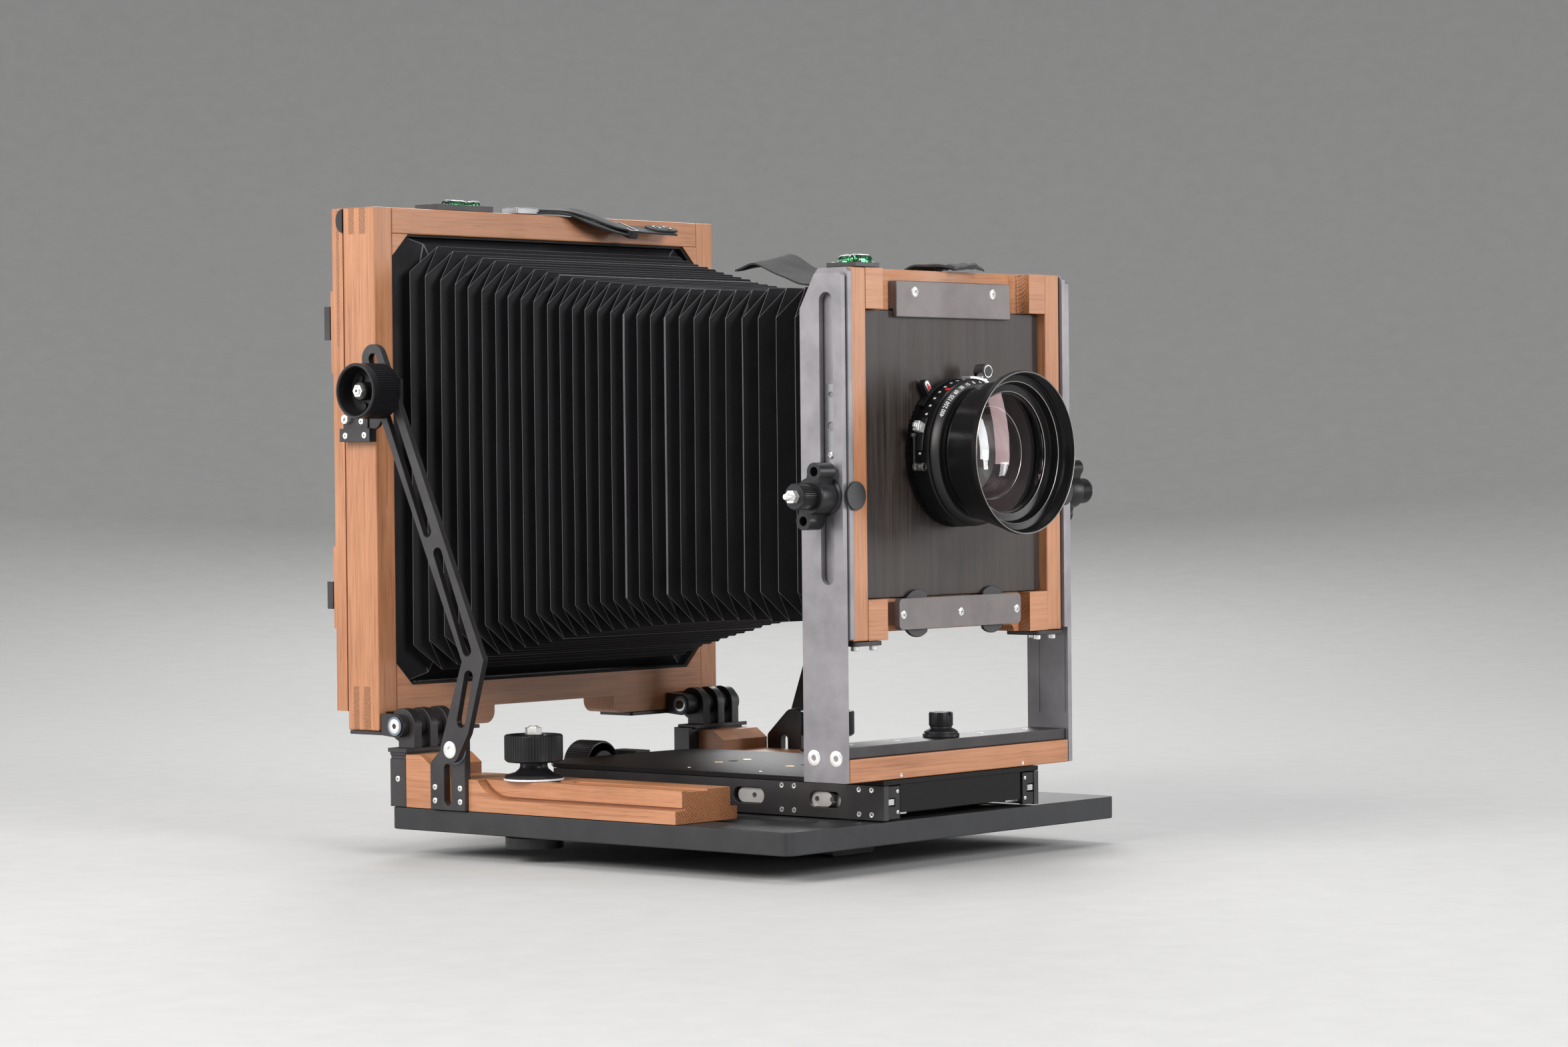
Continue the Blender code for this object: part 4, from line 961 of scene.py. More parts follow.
PLEATS = 28
PLEAT_SPREAD = 0.45
PLEAT_DEPTH = 12.0
CORNER = 17.0
FOLD_BACK = 20.0
BELLOWS_Y = (167.5, -119.0)
BELLOWS_FRONT = (92.0, 93.5)
BELLOWS_FLARE = (34.5, 34.5)
# The bodies that each section of the bellows joins, and the ring of folds where it ends.
BELLOWS_SPANS = (("rear_standard", "rear_carriage", 9), ("rear_carriage", "base", 21),
    ("base", "bed", 34), ("bed", "front_standard", 40), ("front_standard", "riser", 50),
    ("riser", "front_frame", 60))


def fold_corners(width, height, side_is_out):
    """Where a ring turns from the side to the chamfer and from the chamfer to the top."""
    if side_is_out:
        return (width, height - CORNER), (width - FOLD_BACK, height - PLEAT_DEPTH)
    return (width - PLEAT_DEPTH, height - FOLD_BACK), (width - CORNER, height)


def ring_points(corners, y, wander):
    """A closed ring of points through the eight corners, with slightly wavy stretches."""
    (side_x, side_z), (top_x, top_z) = corners
    outline = [(side_x, -side_z), (side_x, side_z), (top_x, top_z), (-top_x, top_z), (-side_x, side_z),
        (-side_x, -side_z), (-top_x, -top_z), (top_x, -top_z)]
    points = []
    for index, start in enumerate(outline):
        end = outline[(index + 1) % 8]
        steps = 8 if index % 2 == 0 else 1
        for step in range(steps):
            share = step / steps
            x = start[0] + (end[0] - start[0]) * share
            z = start[1] + (end[1] - start[1]) * share
            place = Vector((x * 0.012, y * 0.31, z * 0.012))
            shift = [noise.noise(place + Vector((0, offset, 0))) * wander for offset in (0, 31, 57)]
            points.append((x + shift[0], y + shift[1] * 1.3, LENS_Z + z + shift[2]))
    return points


def bellows_rings():
    rear, front = BELLOWS_Y
    rings = [ring_points(((134.0, 121.2), (121.2, 133.0)), 179.6, 0),
        ring_points(fold_corners(126.5, 128.0, False), 172.8, 0)]
    count = 2 * PLEATS
    for index in range(count + 1):
        share = index / count
        share -= PLEAT_SPREAD * share ** 2 * (1 - share)
        flare = (1 - share) ** 2.6
        width, height = (least + more * flare for least, more in zip(BELLOWS_FRONT, BELLOWS_FLARE))
        y = rear + (front - rear) * share
        rings.append(ring_points(fold_corners(width, height, index % 2 == 0), y, 0.25))
    rings.append(ring_points(((84, 66), (70, 82)), -123.4, 0))
    rings.append(ring_points(((91, 78), (80, 90)), -124.5, 0))
    return rings


def bellows_section(rings):
    """Part of the pleated tube, as a single sheet."""
    shape = bmesh.new()
    rings = [[shape.verts.new(point) for point in ring] for ring in rings]
    for rear, rear_next, front_next, front in quads(rings):
        shape.faces.new((rear, front, front_next, rear_next))
    crease_corners(shape)
    return shape


def thicken(sheet):
    """Give a bellows section its thickness, and rounded folds of their own lighter cloth: worn edges
    plus a painted highlight along each ridge.
    """
    sheet.data.materials.append(BELLOWS_FOLD_WEAR_AND_HIGHLIGHT)
    shell = sheet.modifiers.new("thickness", "SOLIDIFY")
    shell.thickness, shell.offset = 0.9 * MM, -1
    folds = sheet.modifiers.new("folds", "BEVEL")
    folds.width, folds.segments, folds.material = 0.42 * MM, 3, 1
    folds.limit_method, folds.angle_limit = "ANGLE", math.radians(38)
    folds.harden_normals = True
    graph = bpy.context.evaluated_depsgraph_get()
    mesh = bpy.data.meshes.new_from_object(sheet.evaluated_get(graph))
    sheet.modifiers.clear()
    sheet.data = mesh


def crease_corners(shape):
    """Split each corner quad along the crease from the side fold to the top fold."""
    rear, front = BELLOWS_Y
    for face in list(shape.faces):
        xs, zs = [v.co.x for v in face.verts], [v.co.z - LENS_Z for v in face.verts]
        ys = [v.co.y for v in face.verts]
        steep = max(abs(a - b) for a in xs for b in xs)
        tall = max(abs(a - b) for a in zs for b in zs)
        if min(ys) < front - 1 or max(ys) > rear + 1 or steep > 40 or tall < 8 or steep < 8:
            continue
        outward = sorted(face.verts, key=lambda v: abs(v.co.x) + abs(v.co.z - LENS_Z))[-2:]
        if not any(set(outward) == set(edge.verts) for edge in face.edges):
            bmesh.ops.connect_verts(shape, verts=outward)


def build_bellows():
    rings = bellows_rings()
    start = 0
    for index, (first, second, end) in enumerate(BELLOWS_SPANS):
        section = bellows_section(rings[start:end + 1])
        area = sum(face.calc_area() for face in section.faces) * MM * MM
        stood_for = ["bellows"] if index == 0 else ()
        made = piece(f"bellows_section_{index + 1}", None, section, BELLOWS_CLOTH, 0, stood_for,
            50)
        thicken(made)
        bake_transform(made)
        start = end


# ------------------------------------------------------------------ focusing bed

def build_bed():
    dress_node("bed_top_plate", TOP_BLACK, 0.5)
    for name, side in SIDES:
        stretch = spread(side, 66.6, 70.8)
        windows = [slot_outline((y, BED_SLOT_Z), (y - 14, BED_SLOT_Z), 4.6) for y in (-97.5, -40.5, 84)]
        side_plate = combined(block(stretch, (-147.6, 107), (28.7, 48.0)), (),
            [prism("x", window, *spread(side, 60, 80)) for window in windows])
        piece(f"bed_side_fine_{name}", "bed", side_plate, BLACK, 0.4, [f"bed_side_{name}"])
        places = [(side * 70.85, y, z) for y in (-138.6, -129.5, -81.7, -72.5) for z in (31.8, 45.6)]
        screws(f"bed_screw_{name}", "bed", places, (side, 0, 0), "countersunk", 1.55)
        end = combined(block(spread(side, 56.2, 66.3), (-147.2, -144.6), (29.2, 47.6)), (),
            [block(spread(side, 60.5, 68), (-150, -140), (36.2, 41))])
        piece(f"bed_end_block_{name}", "bed", end, KNOB_BLACK, 0.25)
        screws(f"bed_end_screw_{name}", "bed", [(side * 58.4, -147.25, z) for z in (33, 44.6)],
            (0, -1, 0), "cross", 1.1)
        slide = combined(prism("x", slot_outline((-104, BED_SLOT_Z), (-42, BED_SLOT_Z), 4.2),
            *spread(side, 65.0, 68.6)), (), [rod("x", (y, BED_SLOT_Z), 1.6, *spread(side, 60, 70))
            for y in (-108, -97, -50)])
        piece(f"bed_bar_{name}", "bed", slide, SATIN_STEEL, 0.25)
        glide = combined(block(spread(side, 61, 66), (-147.0, -143.7), (37, 40.4)))
        piece(f"bed_glide_{name}", "bed", glide, STEEL_Y, 0.2)
    holes = [(-13, 27), (-14, -30), (13, 27), (14, -30)]
    for index, (x, y) in enumerate(holes):
        ring = [(1.5, 50.6), (2.9, 50.6), (2.9, 51.15), (2.6, 51.25), (1.5, 51.0)]
        piece(f"bed_eyelet_{index + 1}", "bed", turned("z", (x, y), ring, 32), BRASS, 0)
    screws("bed_dot", "bed", [(s * x, y, 51.0) for s in (-1, 1) for x, y in ((53, 14), (54, -42))],
        (0, 0, 1), "countersunk", 1.0)


def build_focus_knob():
    axis = (0, 44.2)
    profile = [(0, 153), (13.2, 153), (14.4, 152.6), (15, 151.8), (15, 134.0), (14.4, 133.2),
        (13.6, 133), (12.9, 133.6), (12.4, 135.5), (12.2, 146), (3.5, 146), (3.5, 140.3), (0, 140.3)]
    shape = turned("y", axis, profile, teeth=58, bite=0.55, knurled=(133.8, 152.0))
    piece("focus_knob_grip", "focus_knob", shape, KNOB_BLACK, 0, ["focus_knob"], 28)
    screw("focus_knob_screw", "focus_knob", (0, 153, 44.2), (0, 1, 0), "button", 4.0)
    collar = [(3.4, 132.0), (9, 132.0), (9, 135.0), (3.4, 135.0)]
    piece("lead_screw_collar", "focus_knob", turned("y", axis, collar, 40), BLACK, 0.2)


# ------------------------------------------------------------------ front standard

def build_front_standard():
    dress_node("crossbar_wood", WOODS["x", 1], 0.8)
    dress_node("crossbar_plate", BLACK, 0.5)
    for name, side in SIDES:
        build_upright(name, side)
        build_wing_knob(name, side)
        # The riser plates get the blasted black painted lighter as painted light.
        dress_node(f"riser_plate_{name}", BLACK_BLAST_PAINTED_LIGHT, 0.35)
    screws("crossbar_dot", "front_standard", [(s * 55.7, -147.65, 53.6) for s in (-1, 1)], (0, -1, 0),
        "countersunk", 1.1)
    screws("crossbar_screw", "front_standard", [(x, -131, 71.05) for x in (-80, -38, 38, 80)],
        (0, 0, 1), "countersunk", 2.2)
    axis = (0, -132.0)
    low = [(0, 48.5), (2.9, 48.5), (2.9, 71.25), (10.5, 71.25), (10.5, 73.0), (9.6, 73.6), (9.6, 74.4),
        (7.9, 75.6), (6.2, 76.4), (6.2, 77.2), (0, 77.2)]
    piece("swing_knob_foot", "swing_knob", turned("z", axis, low, 72), BLACK_GLOSS, 0.25,
        ["swing_knob"])
    grip = [(0, 77.2), (6.3, 77.2), (6.9, 77.9), (6.9, 84.6), (6.4, 85.5), (5.6, 85.6), (0, 85.6)]
    top = turned("z", axis, grip, teeth=40, bite=0.4, knurled=(77.8, 84.8))
    sliced = combined(top, (), [block((-1.1, 1.1), (-142, -122), (83.8, 90))])
    piece("swing_knob_grip", "swing_knob", sliced, KNOB_BLACK, 0)


def build_upright(name, side):
    front, rear = -147.5, -117.6
    outline = [(front, 51.6), (rear, 51.6), (rear, 313.7), (-128.4, 333), (front + 1.5, 333),
        (front, 331.5)]
    stretch = spread(side, 100.4, 104.0)
    slot = slot_outline((FRONT_PIVOT[0], 165.8), (FRONT_PIVOT[0], 317.7), 4.8)
    groove = spread(side, 99, 100.9)
    grooves = [prism("x", [(y, 80), (y + 1.2, 80), (y + 1.2, 340), (y, 340)], *groove)
        for y in (-146.1, -127.2)]
    upright = combined(prism("x", outline, *stretch), (), [prism("x", slot, *spread(side, 98, 106)),
        *grooves])
    # The upright gets the blasted black painted lighter as painted light.
    piece(f"upright_fine_{name}", "front_standard", upright, BLACK_BLAST_PAINTED_LIGHT, 0.5, [f"upright_{name}"])
    screws(f"upright_screw_{name}", "front_standard", [(side * 104.05, y, 65.1) for y in (-141, -125)],
        (side, 0, 0), "countersunk", 4.5)
    y = FRONT_PIVOT[0]
    screw(f"riser_stop_screw_{name}", "riser", (side * 100.2, y, 232.6), (side, 0, 0), "button", 2.2)
    holes = [rod("x", (y, z), radius, *spread(side, 98, 102))
        for z, radius in ((248.4, 2.5), (266, 1.6))]
    stop = combined(prism("x", rounded_rectangle((-141, -131.8), (225, 272), 1.5),
        *spread(side, 99.65, 100.2)), (), holes)
    piece(f"riser_stop_{name}", "riser", stop, PLATED, 0.1)


def build_wing_knob(name, side):
    body = f"wing_knob_{name}"
    y, z = FRONT_PIVOT
    profile = [(0, 95.6), (3, 95.6), (3, 104.4), (10.9, 104.4), (11.1, 105.6), (9.4, 106.4),
        (10.2, 108), (10.2, 119.2), (9.6, 120), (6.8, 120), (6.8, 121), (0, 121)]
    ends = (y + 4, z - 13.6), (y - 4, z + 13.6)
    waist = slot_outline(*ends, 4.4)
    lobes = [rod("x", end, 5.0, *spread(side, 107.5, 120.0)) for end in ends]
    wing = combined(turned("x", FRONT_PIVOT, mirrored(side, profile), 72),
        [prism("x", waist, *spread(side, 107.6, 119.8)), *lobes],
        [rod("x", end, 2.7, *spread(side, 100, 130)) for end in ends])
    piece(body + "_wings", body, wing, KNOB_BLACK, 0.45, [body])
    grip = [(0, 120.6), (6.4, 120.6), (7.5, 121.6), (7.5, 131.2), (6.8, 132), (0, 132)]
    knurl = turned("x", FRONT_PIVOT, mirrored(side, grip), teeth=40, bite=0.5,
        knurled=spread(side, 121.4, 131.4))
    piece(body + "_grip", body, knurl, KNOB_BLACK, 0)
    screw(body + "_nut", body, (side * 132.0, y, z), (side, 0, 0), "nut", 3.9)
    washer(body + "_washer", body, "x", FRONT_PIVOT, 3.1, 8.6, *spread(side, 104.05, 104.4),
        PALE_PLASTIC)


# ------------------------------------------------------------------ front frame

def build_front_frame():
    body, y = "front_frame", (-147.0, -125.0)
    inset = (-149, -138.4)
    for name, side in SIDES:
        member(f"front_stile_{name}", body, spread(side, 82, 95), y, (129.4, 336.3), "z", side,
            bevel=0.8)
    holes = [rod("y", (side * LOCK_CAM[0], LOCK_CAM[1]), 2.9, -150, -133, 32) for _, side in SIDES]
    lower_cove = [prism("y", [(-60.5, 120)] + arc((-56.6, 129.6), 4, 180, 90, 8)
        + arc((56.6, 129.6), 4, 90, 0, 8) + [(60.5, 120)], -160, -110)]
    member("front_bottom_rail", body, (-82, 82), y, (129.4, 152.2), "x", -1,
        cuts=[block((-65, 65), inset, (120, 160)), *holes, *lower_cove], bevel=0.8,
        replaces=["front_frame"])
    member("front_top_rail", body, (-82, 82), y, (313.5, 336.3), "x", 1,
        cuts=[block((-65, 65), inset, (300, 340)), rod("z", (61, -144), 6.4, 300, 340),
        rod("z", (-61, -144), 6.4, 300, 340)], bevel=0.8)
    rebate = combined(block((-82, 82), (-137.2, -125.1), (152.2, 313.5)), (),
        [block((-74, 74), (-140, -120), (160, 306))])
    piece("front_rebate", body, rebate, WOODS["x", 1], 0.3)
    dress_node("lens_board", LAMINATE, 0.3)
    # The retainer and lock plate get black anodising painted light grey as a painted reflection.
    dress_node("top_retainer", BLACK_PAINTED_REFLECTION, 0.6)
    dress_node("lock_plate", BLACK_PAINTED_REFLECTION, 0.5)
    screws("retainer_screw", body, [(s * 35.4, -144.65, 324) for s in (-1, 1)], (0, -1, 0), "cross",
        3.0)
    screws("lock_plate_screw", body, [(x, -147.65, 143) for x in (-51.7, 0, 51.7)], (0, -1, 0), "cross",
        2.4)
    for name, side in SIDES:
        build_front_hardware(name, side, body)


def build_front_hardware(name, side, body):
    outline = rounded_rectangle(spread(side, 71, 95.3), (-148.4, -124), 2.5)
    piece(f"frame_bracket_{name}", body, combined(prism("z", outline, 126.7, 129.2)), BLACK, 0.4)
    spots = ((74.8, -144.2), (90, -129), (90, -143.5))
    screws(f"frame_bracket_screw_{name}", body, [(side * x, y, 126.7) for x, y in spots], (0, 0, -1),
        "socket", 2.3)
    disc = combined(rod("y", (side * 95.2, 210), 8.0, -150.4, -149.1, 64),
        [block(spread(side, 97.0, 99.2), (-149.6, -148.4), (206, 214))])
    piece(f"tilt_cap_{name}", "riser", disc, KNOB_BLACK, 0.3)
    cam = f"lock_cam_{name}"
    centre = (side * LOCK_CAM[0], LOCK_CAM[1])
    start = 129 if side > 0 else -51
    rim = arc(centre, 13.5, start - 258, start, 72)
    shape = combined(prism("y", rim, -143.5, -141.5), [rod("y", centre, 2.5, -142, -134, 32)])
    piece(cam + "_fine", cam, shape, BLACK, 0.4, [cam])


# ------------------------------------------------------------------ lens and shutter

LENS_AXIS = (0, LENS_Z)


def lens_part(name, profile, material, segments=96, replaces=(), slot=None, smooth=32, **knurl):
    """A part that is turned about the lens axis; the speed ring rides on its own body."""
    body = "speed_ring" if "speed_ring" in replaces else "front_frame"
    shape = turned("y", LENS_AXIS, profile, segments, **knurl)
    return piece(name, body, shape, material, 0, replaces, smooth)


def build_lens():
    shutter = [(27, -141.5), (39.6, -141.5), (40.2, -142.0), (40.2, -147.4), (40.9, -147.8),
        (41.5, -148.6), (41.5, -156.8), (40.8, -157.9), (27, -157.9)]
    lens_part("shutter_case", shutter, LENS_BLACK, 128, ["shutter_body"], KNOB_METAL)
    for index, along in enumerate((-143.4, -149.2)):
        serrated = [(38, along - 0.9), (41.9, along - 0.9), (41.9, along + 0.9), (38, along + 0.9)]
        lens_part(f"shutter_serration_{index + 1}", serrated, LENS_BLACK, teeth=96, bite=0.7,
            knurled=(-151, -142))
    ring = [(31, -158.3), (40.6, -158.3), (41, -158.8), (41, -160.0), (38.9, -163.4), (38.2, -163.6),
        (31, -163.6)]
    lens_part("speed_ring_fine", ring, LENS_SATIN, 128, ["speed_ring"], KNOB_METAL)
    barrel = [(26.6, -157.9), (26.6, -163.9), (36.4, -163.9), (37.2, -164.4), (37.2, -166.2),
        (36.0, -166.9), (35.4, -168.2), (36.2, -169.0), (38.4, -169.4), (39.0, -170.0), (39.4, -171.6),
        (45.3, -190.8), (46.0, -192.2), (46.0, -194.4), (45.7, -194.9), (44.9, -195.0), (44.4, -194.5)]
    for thread in range(5):
        along = -193.9 + thread * 1.05
        barrel += [(44.4, along), (44.05, along + 0.5)]
    barrel += [(43.8, -188.4), (43.4, -188.0), (40.4, -187.4), (39.9, -186.9), (39.4, -185.2),
        (38.9, -183.2), (38.4, -182.6), (34.8, -182.1), (34.4, -181.6), (34.2, -177.8)]
    barrel += [(33.0, -177.6), (33.0, -170.6), (26.4, -168.4), (24.6, -168.0), (24.6, -163.0),
        (25.2, -157.9)]
    lens_part("lens_barrel_fine", barrel, LENS_BLACK, 160, ["lens_barrel"], KNOB_METAL, 24)
    cone = [(26.5, -168.7), (32.9, -170.9), (32.9, -177.5)]
    for step in range(7):
        radius = 32.4 - step
        cone += [(radius, -177.4 + step * 1.25), (radius - 0.3, -177.3 + step * 1.25)]
    lens_part("lens_cone", cone, LENS_FLAT, 128, smooth=24)
    # Thin pale metal rings on the lens edges: worn bare metal plus painted highlights along the edges.
    for name, radius, along in (("rim", 45.4, -195.02), ("inner", 40.1, -187.3),
            ("third", 34.6, -182.0), ("retaining", 25.5, -169.1)):
        edge = [(radius - 0.28, along), (radius, along - 0.12), (radius + 0.28, along),
            (radius, along + 0.2)]
        lens_part(f"lens_edge_{name}", edge, RIM_WEAR_AND_HIGHLIGHT, 160)
    build_glass()
    cell = [(20, -137), (26.4, -137), (31, -136.9), (31, -126), (30.4, -125.4), (25, -105),
        (24.3, -104), (21, -104), (20.6, -104.6), (20, -108)]
    lens_part("rear_cell_fine", cell, LENS_BLACK, 96, ["rear_cell"], KNOB_METAL)
    mount = [(20.5, -141.6), (26.4, -141.6), (26.4, -136.4), (20.5, -136.4)]
    lens_part("rear_cell_thread", mount, LENS_BLACK)
    lens_part("rear_lens_glass", lens_shape(19.8, -110.5, 5.0, -118, -3.0), GLASS_REAR)
    build_scales()
    build_levers()


def lens_shape(radius, front, bulge, rear, hollow):
    """A lens section: its front bulges towards +along by bulge, its rear by hollow."""
    count = 24
    outwards = [index / count for index in range(count + 1)]
    inwards = [1 - share for share in outwards]
    return ([(radius * share, front + bulge * (1 - share ** 2)) for share in outwards]
        + [(radius * share, rear + hollow * (1 - share ** 2)) for share in inwards])


def build_glass():
    lens_part("front_glass", lens_shape(33.9, -181.3, -3.3, -178.0, -1.6), GLASS_FRONT, 128,
        ["lens_glass"], "optical_glass", 60)
    lens_part("second_glass", lens_shape(24.3, -164.6, -4.2, -161.0, 1.8), GLASS_INNER, 128, smooth=60)
    lens_part("third_glass", lens_shape(21.5, -157.6, 2.2, -154.6, 1.4), GLASS_INNER, 128, smooth=60)
    inner_tube = [(21.6, -163.4), (24.3, -163.4), (26.5, -157.5), (26.5, -149.2), (21.6, -149.2),
        (21.6, -151.0), (22.6, -151.6), (22.6, -158.4), (21.6, -158.9)]
    lens_part("lens_tube", inner_tube, LENS_BLACK)
    for index in range(5):
        angle = math.tau * index / 5 + 0.3
        hub = (9.5 * math.cos(angle), LENS_Z + 9.5 * math.sin(angle))
        blade = arc(hub, 13.6, math.degrees(angle) - 130, math.degrees(angle) + 60, 24)
        low = -149.6 + 0.22 * index
        piece(f"shutter_blade_{index + 1}", "front_frame", prism("y", blade, low, low + 0.2),
            BLADE_METAL, 0)
    plate = [(9, -148.0), (26.4, -148.0), (26.4, -147.4), (9, -147.4)]
    lens_part("shutter_blade_seat", plate, MATTE_BLACK, 64)


def wrapped_text(name, body, words, angle, radius, along, size, material, lean=0.0):
    """Raised numerals that stand on a cylinder or a cone about the lens axis."""
    curve = bpy.data.curves.new(name, "FONT")
    curve.body, curve.size = words, size
    curve.align_x, curve.align_y = "CENTER", "CENTER"
    curve.extrude = 0.05
    curve.resolution_u = 3
    text = placed(name, curve)
    graph = bpy.context.evaluated_depsgraph_get()
    mesh = bpy.data.meshes.new_from_object(text.evaluated_get(graph))
    bpy.data.objects.remove(text)
    bpy.data.curves.remove(curve)
    for vertex in mesh.vertices:
        sideways, upright, out = vertex.co
        turn = math.radians(angle) - sideways / radius
        reach = radius + out * math.cos(lean) + upright * math.sin(lean)
        place = along + upright * math.cos(lean) - out * math.sin(lean)
        vertex.co = Vector((reach * math.cos(turn), place, LENS_Z + reach * math.sin(turn))) * MM
    return dressed(name, body, mesh, material, 0)


def build_scales():
    speeds = ("1", "2", "4", "8", "15", "30", "60", "125", "250", "400")
    lean = math.radians(32)
    for index, speed in enumerate(speeds):
        wrapped_text(f"speed_{speed}", "speed_ring", speed, 71.9 + 8.2 * index, 40.0, -161.7, 3.35,
            WHITE_PAINT, lean)
    for index in range(16):
        angle = 60 + 8 * index
        mark = prism("y", ring_sector(41.55, 41.75, angle - 0.8, angle + 0.8, 3), -152.6, -151.2)
        piece(f"shutter_tick_{index + 1}", "front_frame", mark, WHITE_PAINT, 0)
    marker = prism("y", ring_sector(41.4, 41.8, 118.6, 121.4, 3), -157.4, -154.4)
    piece("speed_marker", "front_frame", marker, RED_PAINT, 0)
    stops = ("5.6", "8", "11", "16", "22", "32", "45", "64")
    for index, stop in enumerate(stops):
        wrapped_text(f"stop_{index + 1}", "front_frame", stop, 74 + 8.4 * index, 40.25, -144.4, 2.1,
            WHITE_PAINT)


def ring_sector(inner, outer, start, end, steps=8):
    return arc(LENS_AXIS, outer, start, end, steps) + arc(LENS_AXIS, inner, end, start, steps)


def build_levers():
    arm = ring_sector(40.8, 42.2, 60, 140, 40)
    lever = combined(prism("y", arm, -147.2, -143), [prism("y", rounded_tab(126.5, 41.4, 51, 5.4),
        -147.0, -143.4)])
    piece("aperture_lever_fine", "aperture_lever", lever, LENS_SATIN, 0.3, ["aperture_lever"])
    tip = combined(prism("y", rounded_tab(126.5, 44.5, 50.6, 3.6), -147.6, -147.0))
    piece("aperture_lever_tip", "aperture_lever", tip, STEEL_Y, 0.2)
    red = prism("y", [polar(45.2, 124.9), polar(48.8, 126.5), polar(45.2, 128.1)], -147.9, -147.6)
    piece("aperture_lever_mark", "aperture_lever", red, RED_PAINT, 0)
    arm = ring_sector(42, 43.6, 60, 92, 20)
    neck = prism("y", ring_sector(43.4, 47, 70, 76, 4), -156, -151)
    base = combined(prism("y", arm, -156.8, -150.4), [neck])
    piece("cocking_lever_arm", "cocking_lever", base, SATIN_STEEL, 0.3, ["cocking_lever"])
    knob = [(0, -157.6), (3.6, -157.6), (4.2, -157.0), (4.2, -150.2), (3.6, -149.6), (0, -149.6)]
    grip = turned("y", polar(48.5, 73), knob, teeth=26, bite=0.5, knurled=(-156.9, -150.3))
    piece("cocking_lever_knob", "cocking_lever", grip, CHROME, 0)
    cap = [(0, -157.9), (2.9, -157.9), (3.1, -157.5), (0, -157.5)]
    piece("cocking_lever_cap", "cocking_lever", turned("y", polar(48.5, 73), cap, 32), LENS_BLACK, 0)
    arm = combined(prism("y", ring_sector(41.9, 43.0, 152, 178, 20), -154.6, -150.6))
    piece("release_lever_arm", "release_lever", arm, LENS_SATIN, 0.3, ["release_lever"])
    pad = combined(prism("y", ring_sector(43.0, 48.6, 157.5, 164.5, 4), -154.8, -150.8),
        [prism("y", ring_sector(47.5, 50.4, 159.5, 162.5, 2), -153.4, -151.6)])
    piece("release_lever_pad", "release_lever", pad, SATIN_STEEL, 0.35)
    spot = polar(45.6, 161)
    screw("release_lever_screw", "release_lever", (spot[0], -154.8, spot[1]), (0, -1, 0), "cross", 1.5)
    blade = combined(block((-47.4, -46.2), (-152.6, -151.8), (224, 244)),
        [block((-49.2, -45.6), (-152.8, -151.6), (242.4, 244.4))])
    piece("release_lever_blade", "release_lever", blade, CHROME, 0.15)
    socket = [(1.2, -156.0), (2.4, -156.0), (2.4, -149), (1.2, -149)]
    piece("cable_socket", "front_frame", turned("y", polar(43.0, 190), socket, 32), STEEL_Y, 0.1)


def rounded_tab(angle, inner, outer, width):
    """Outline of a radial tab with a round outer end."""
    heading = math.radians(angle)
    along = Vector((math.cos(heading), math.sin(heading)))
    across = Vector((-along.y, along.x))
    base = Vector(LENS_AXIS) + along * inner
    tip = Vector(LENS_AXIS) + along * (outer - width / 2)
    round_end = arc((tip.x, tip.y), width / 2, angle - 90, angle + 90, 10)
    return [tuple(base + across * width / 2), tuple(base - across * width / 2), *round_end]


def polar(radius, angle):
    return arc(LENS_AXIS, radius, angle, angle, 1)[0]


# ------------------------------------------------------------------ back

def build_back():
    body, y = "back", (200.0, 209.0)
    for name, side in SIDES:
        pads = [block(spread(side, 128, 149.7), (208.5, 211), pad) for pad in ((284, 333), (132, 181))]
        member(f"back_stile_{name}", body, spread(side, 100, 149.9), y, (83, 382), "z", side,
            joins=pads, replaces=["back_frame"] if side < 0 else ())
        inlay = block(spread(side, 149.75, 149.95), (203.2, 205.4), (300, 381))
        piece(f"back_inlay_{name}", body, inlay, WOODS["end"], 0)
        disc = [(199.3 + 5.5 * math.sin(math.radians(a)), 374.5 + 7 * math.cos(math.radians(a)))
            for a in range(0, 181, 12)]
        tab = combined(prism("x", disc, *spread(side, 149.95, 150.9)))
        piece(f"back_tab_{name}", body, tab, KNOB_BLACK, 0.1)
    for name, z in (("lower", (83, 106)), ("upper", (359, 382))):
        member(f"back_rail_{name}", body, (-100, 100), y, z, "x", 1 if name == "upper" else -1)
    dress_node("glass_frame", WOODS["z", -1], 0.6)
    dress_node("ground_glass", GROUND, 0.4)
    for name, side in SIDES:
        dress_node(f"back_spring_{name}", BLACK, 0.4)
        screws(f"back_spring_screw_{name}", "glass_holder", [(side * 116.7, 213.35, z)
            for z in (150, 233, 317)], (0, 1, 0), "cross", 1.8)
    inch, half_line, depth = 25.4, 0.12, (212.45, 212.56)
    for index in range(7):
        offset = (index - 3) * inch
        line = block((offset - half_line, offset + half_line), depth, (112, 352))
        piece(f"glass_line_upright_{index + 1}", "glass_holder", line, PENCIL, 0)
    for index in range(9):
        level = 232 + (index - 4) * inch
        line = block((-95, 95), depth, (level - half_line, level + half_line))
        piece(f"glass_line_level_{index + 1}", "glass_holder", line, PENCIL, 0)


# ------------------------------------------------------------------ make everything

WOODS = {(grain, side): make_wood(f"oiled_wood_{grain}_{'left' if side < 0 else 'right'}", grain,
    seed=ord(grain) % 7 + side * 1.7) for grain in AXES for side in (-1, 1)}
WOODS["fingers"] = make_wood("oiled_wood_stile", "z", 4.4, ((0.0720, 0.0980), (0.3662, 0.3822)))
WOODS["end"] = make_wood("oiled_wood_inlay", "x", 9.1)
BLACK = make_metal("black_anodised", (0.054, 0.051, 0.053), 0.40, 0.65)
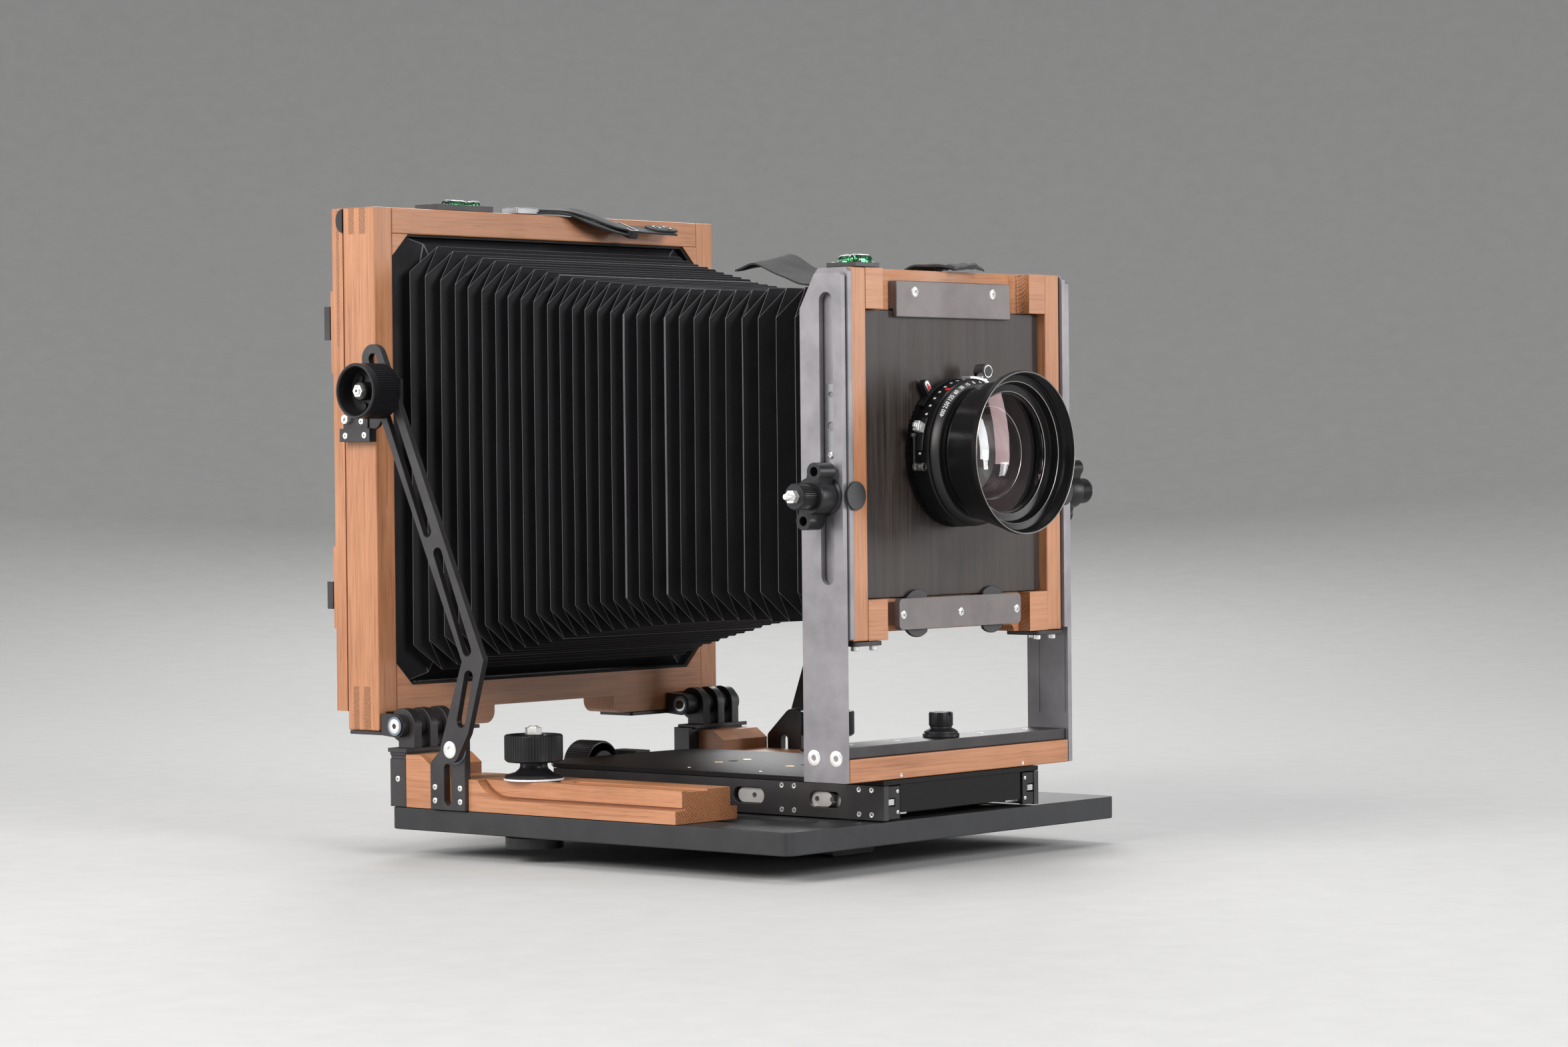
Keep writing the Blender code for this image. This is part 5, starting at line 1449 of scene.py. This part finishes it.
# Bead-blasted black anodising, painted much lighter grey: the blasted finish plus painted light
# standing in for the light on the uprights and riser plates.
BLACK_BLAST_PAINTED_LIGHT = make_metal("black_anodised_blasted_painted_light", (0.260, 0.250, 0.265), 0.44, 0.5, depth=0.00002,
    grain=3600)
BLACK_GLOSS = make_metal("black_anodised_satin", (0.034, 0.033, 0.036), 0.36, 0.6, depth=0.000004)
# Black anodising painted light grey as a painted reflection, for the front-facing retainer and lock
# plate.
BLACK_PAINTED_REFLECTION = make_metal("black_anodised_front_painted_reflection", (0.150, 0.133, 0.131), 0.42, 0.35)
TOP_BLACK = make_plain("bed_top_black", (0.012, 0.011, 0.011), 0.42, 1800, 0.000004,
    Specular_IOR_Level=0.12)
BASE_BLACK = make_metal("matte_black_plate", (0.034, 0.035, 0.038), 0.50, 0.35, grain=2600,
    depth=0.00003)
KNOB_BLACK = make_metal("black_knob", (0.016, 0.016, 0.018), 0.34, 0.4)
MATTE_BLACK = make_plain("matte_black_paint", (0.008, 0.008, 0.009), 0.8)
LENS_BLACK = make_plain("lens_enamel", (0.005, 0.005, 0.0055), 0.30, 2500, 0.000002,
    Specular_IOR_Level=0.24)
LENS_FLAT = make_plain("lens_flat_black", (0.0030, 0.0030, 0.0033), 0.60, 300, 0.0000005,
    Specular_IOR_Level=0.10)
LENS_SATIN = make_plain("lens_satin_black", (0.008, 0.008, 0.009), 0.40, 2500, 0.000006)
BLADE_METAL = make_plain("shutter_blade_black", (0.012, 0.012, 0.013), 0.40, 200, 0.0000005)
# Pale metal for the lens edge rings: worn metal plus painted highlights along the edges.
RIM_WEAR_AND_HIGHLIGHT = make_metal("worn_and_highlit_rim", (0.50, 0.47, 0.44), 0.28)
SCREW_STEEL = make_metal("screw_steel", (0.86, 0.85, 0.83), 0.24, 0.72, 4000, 0.000004)
SATIN_STEEL = make_metal("satin_steel", (0.62, 0.62, 0.61), 0.34, 0.55, 2600, 0.000006)
CHROME = make_metal("polished_steel", (0.46, 0.46, 0.47), 0.16, 1.0, 2000, 0.000002)
STEEL_Y = make_brushed("brushed_steel", (0.62, 0.62, 0.62), 0.27)
PLATED = make_brushed("dull_plate", (0.30, 0.30, 0.31), 0.38)
BRASS = make_brushed("brass", (0.62, 0.42, 0.16), 0.30)
BLUE_WASHER = make_plain("blue_grey_washer", (0.16, 0.20, 0.26), 0.35)
PALE_PLASTIC = make_plain("pale_nylon", (0.68, 0.69, 0.72), 0.4)
RUBBER = make_plain("black_rubber", (0.014, 0.014, 0.015), 0.7, 1500, 0.00003)
WHITE_PAINT = make_plain("engraving_white", (0.80, 0.80, 0.79), 0.5)
RED_PAINT = make_plain("engraving_red", (0.65, 0.02, 0.02), 0.45)
PENCIL = make_plain("grid_line", (0.06, 0.06, 0.065), 0.7)
LAMINATE = make_board()
BELLOWS_CLOTH = make_cloth("bellows_cloth", (0.0050, 0.0050, 0.0066), 700)
# Lighter cloth on the rounded folds: worn edges plus a painted highlight along each ridge.
BELLOWS_FOLD_WEAR_AND_HIGHLIGHT = make_cloth("bellows_fold_worn_and_highlit", (0.115, 0.110, 0.122), 900, 0.42)
WEBBING = make_webbing()
FUZZ = make_fuzz()
GLASS_FRONT = make_glass("coated_front_glass", (0.97, 0.97, 0.98), ior=1.42,
    Specular_Tint=(0.55, 0.24, 0.26))
GLASS_INNER = make_glass("coated_inner_glass", (0.95, 0.90, 0.90), ior=1.65)
GLASS_REAR = make_glass("coated_rear_glass", (0.85, 0.90, 0.95))
GROUND = make_glass("ground_glass", (0.90, 0.92, 0.91), 0.55)
CLEAR = make_glass("vial_glass", (0.97, 1.0, 0.97), ior=1.49)
GREEN = make_glass("vial_liquid", (0.10, 0.80, 0.30), 0.05, 1.36)

set_up_camera()
set_up_lights()
build_floor()
dress_base()
build_rear_carriage()
build_rear_frame()
for _name, _side in SIDES:
    build_hinge_leaf(_name, _side)
    build_tilt_bracket(_name, _side)
    build_strut(_name, _side)
build_levels()
build_handle_strap()
build_front_strap()
build_bellows()
build_bed()
build_focus_knob()
build_front_standard()
build_front_frame()
build_lens()
build_back()
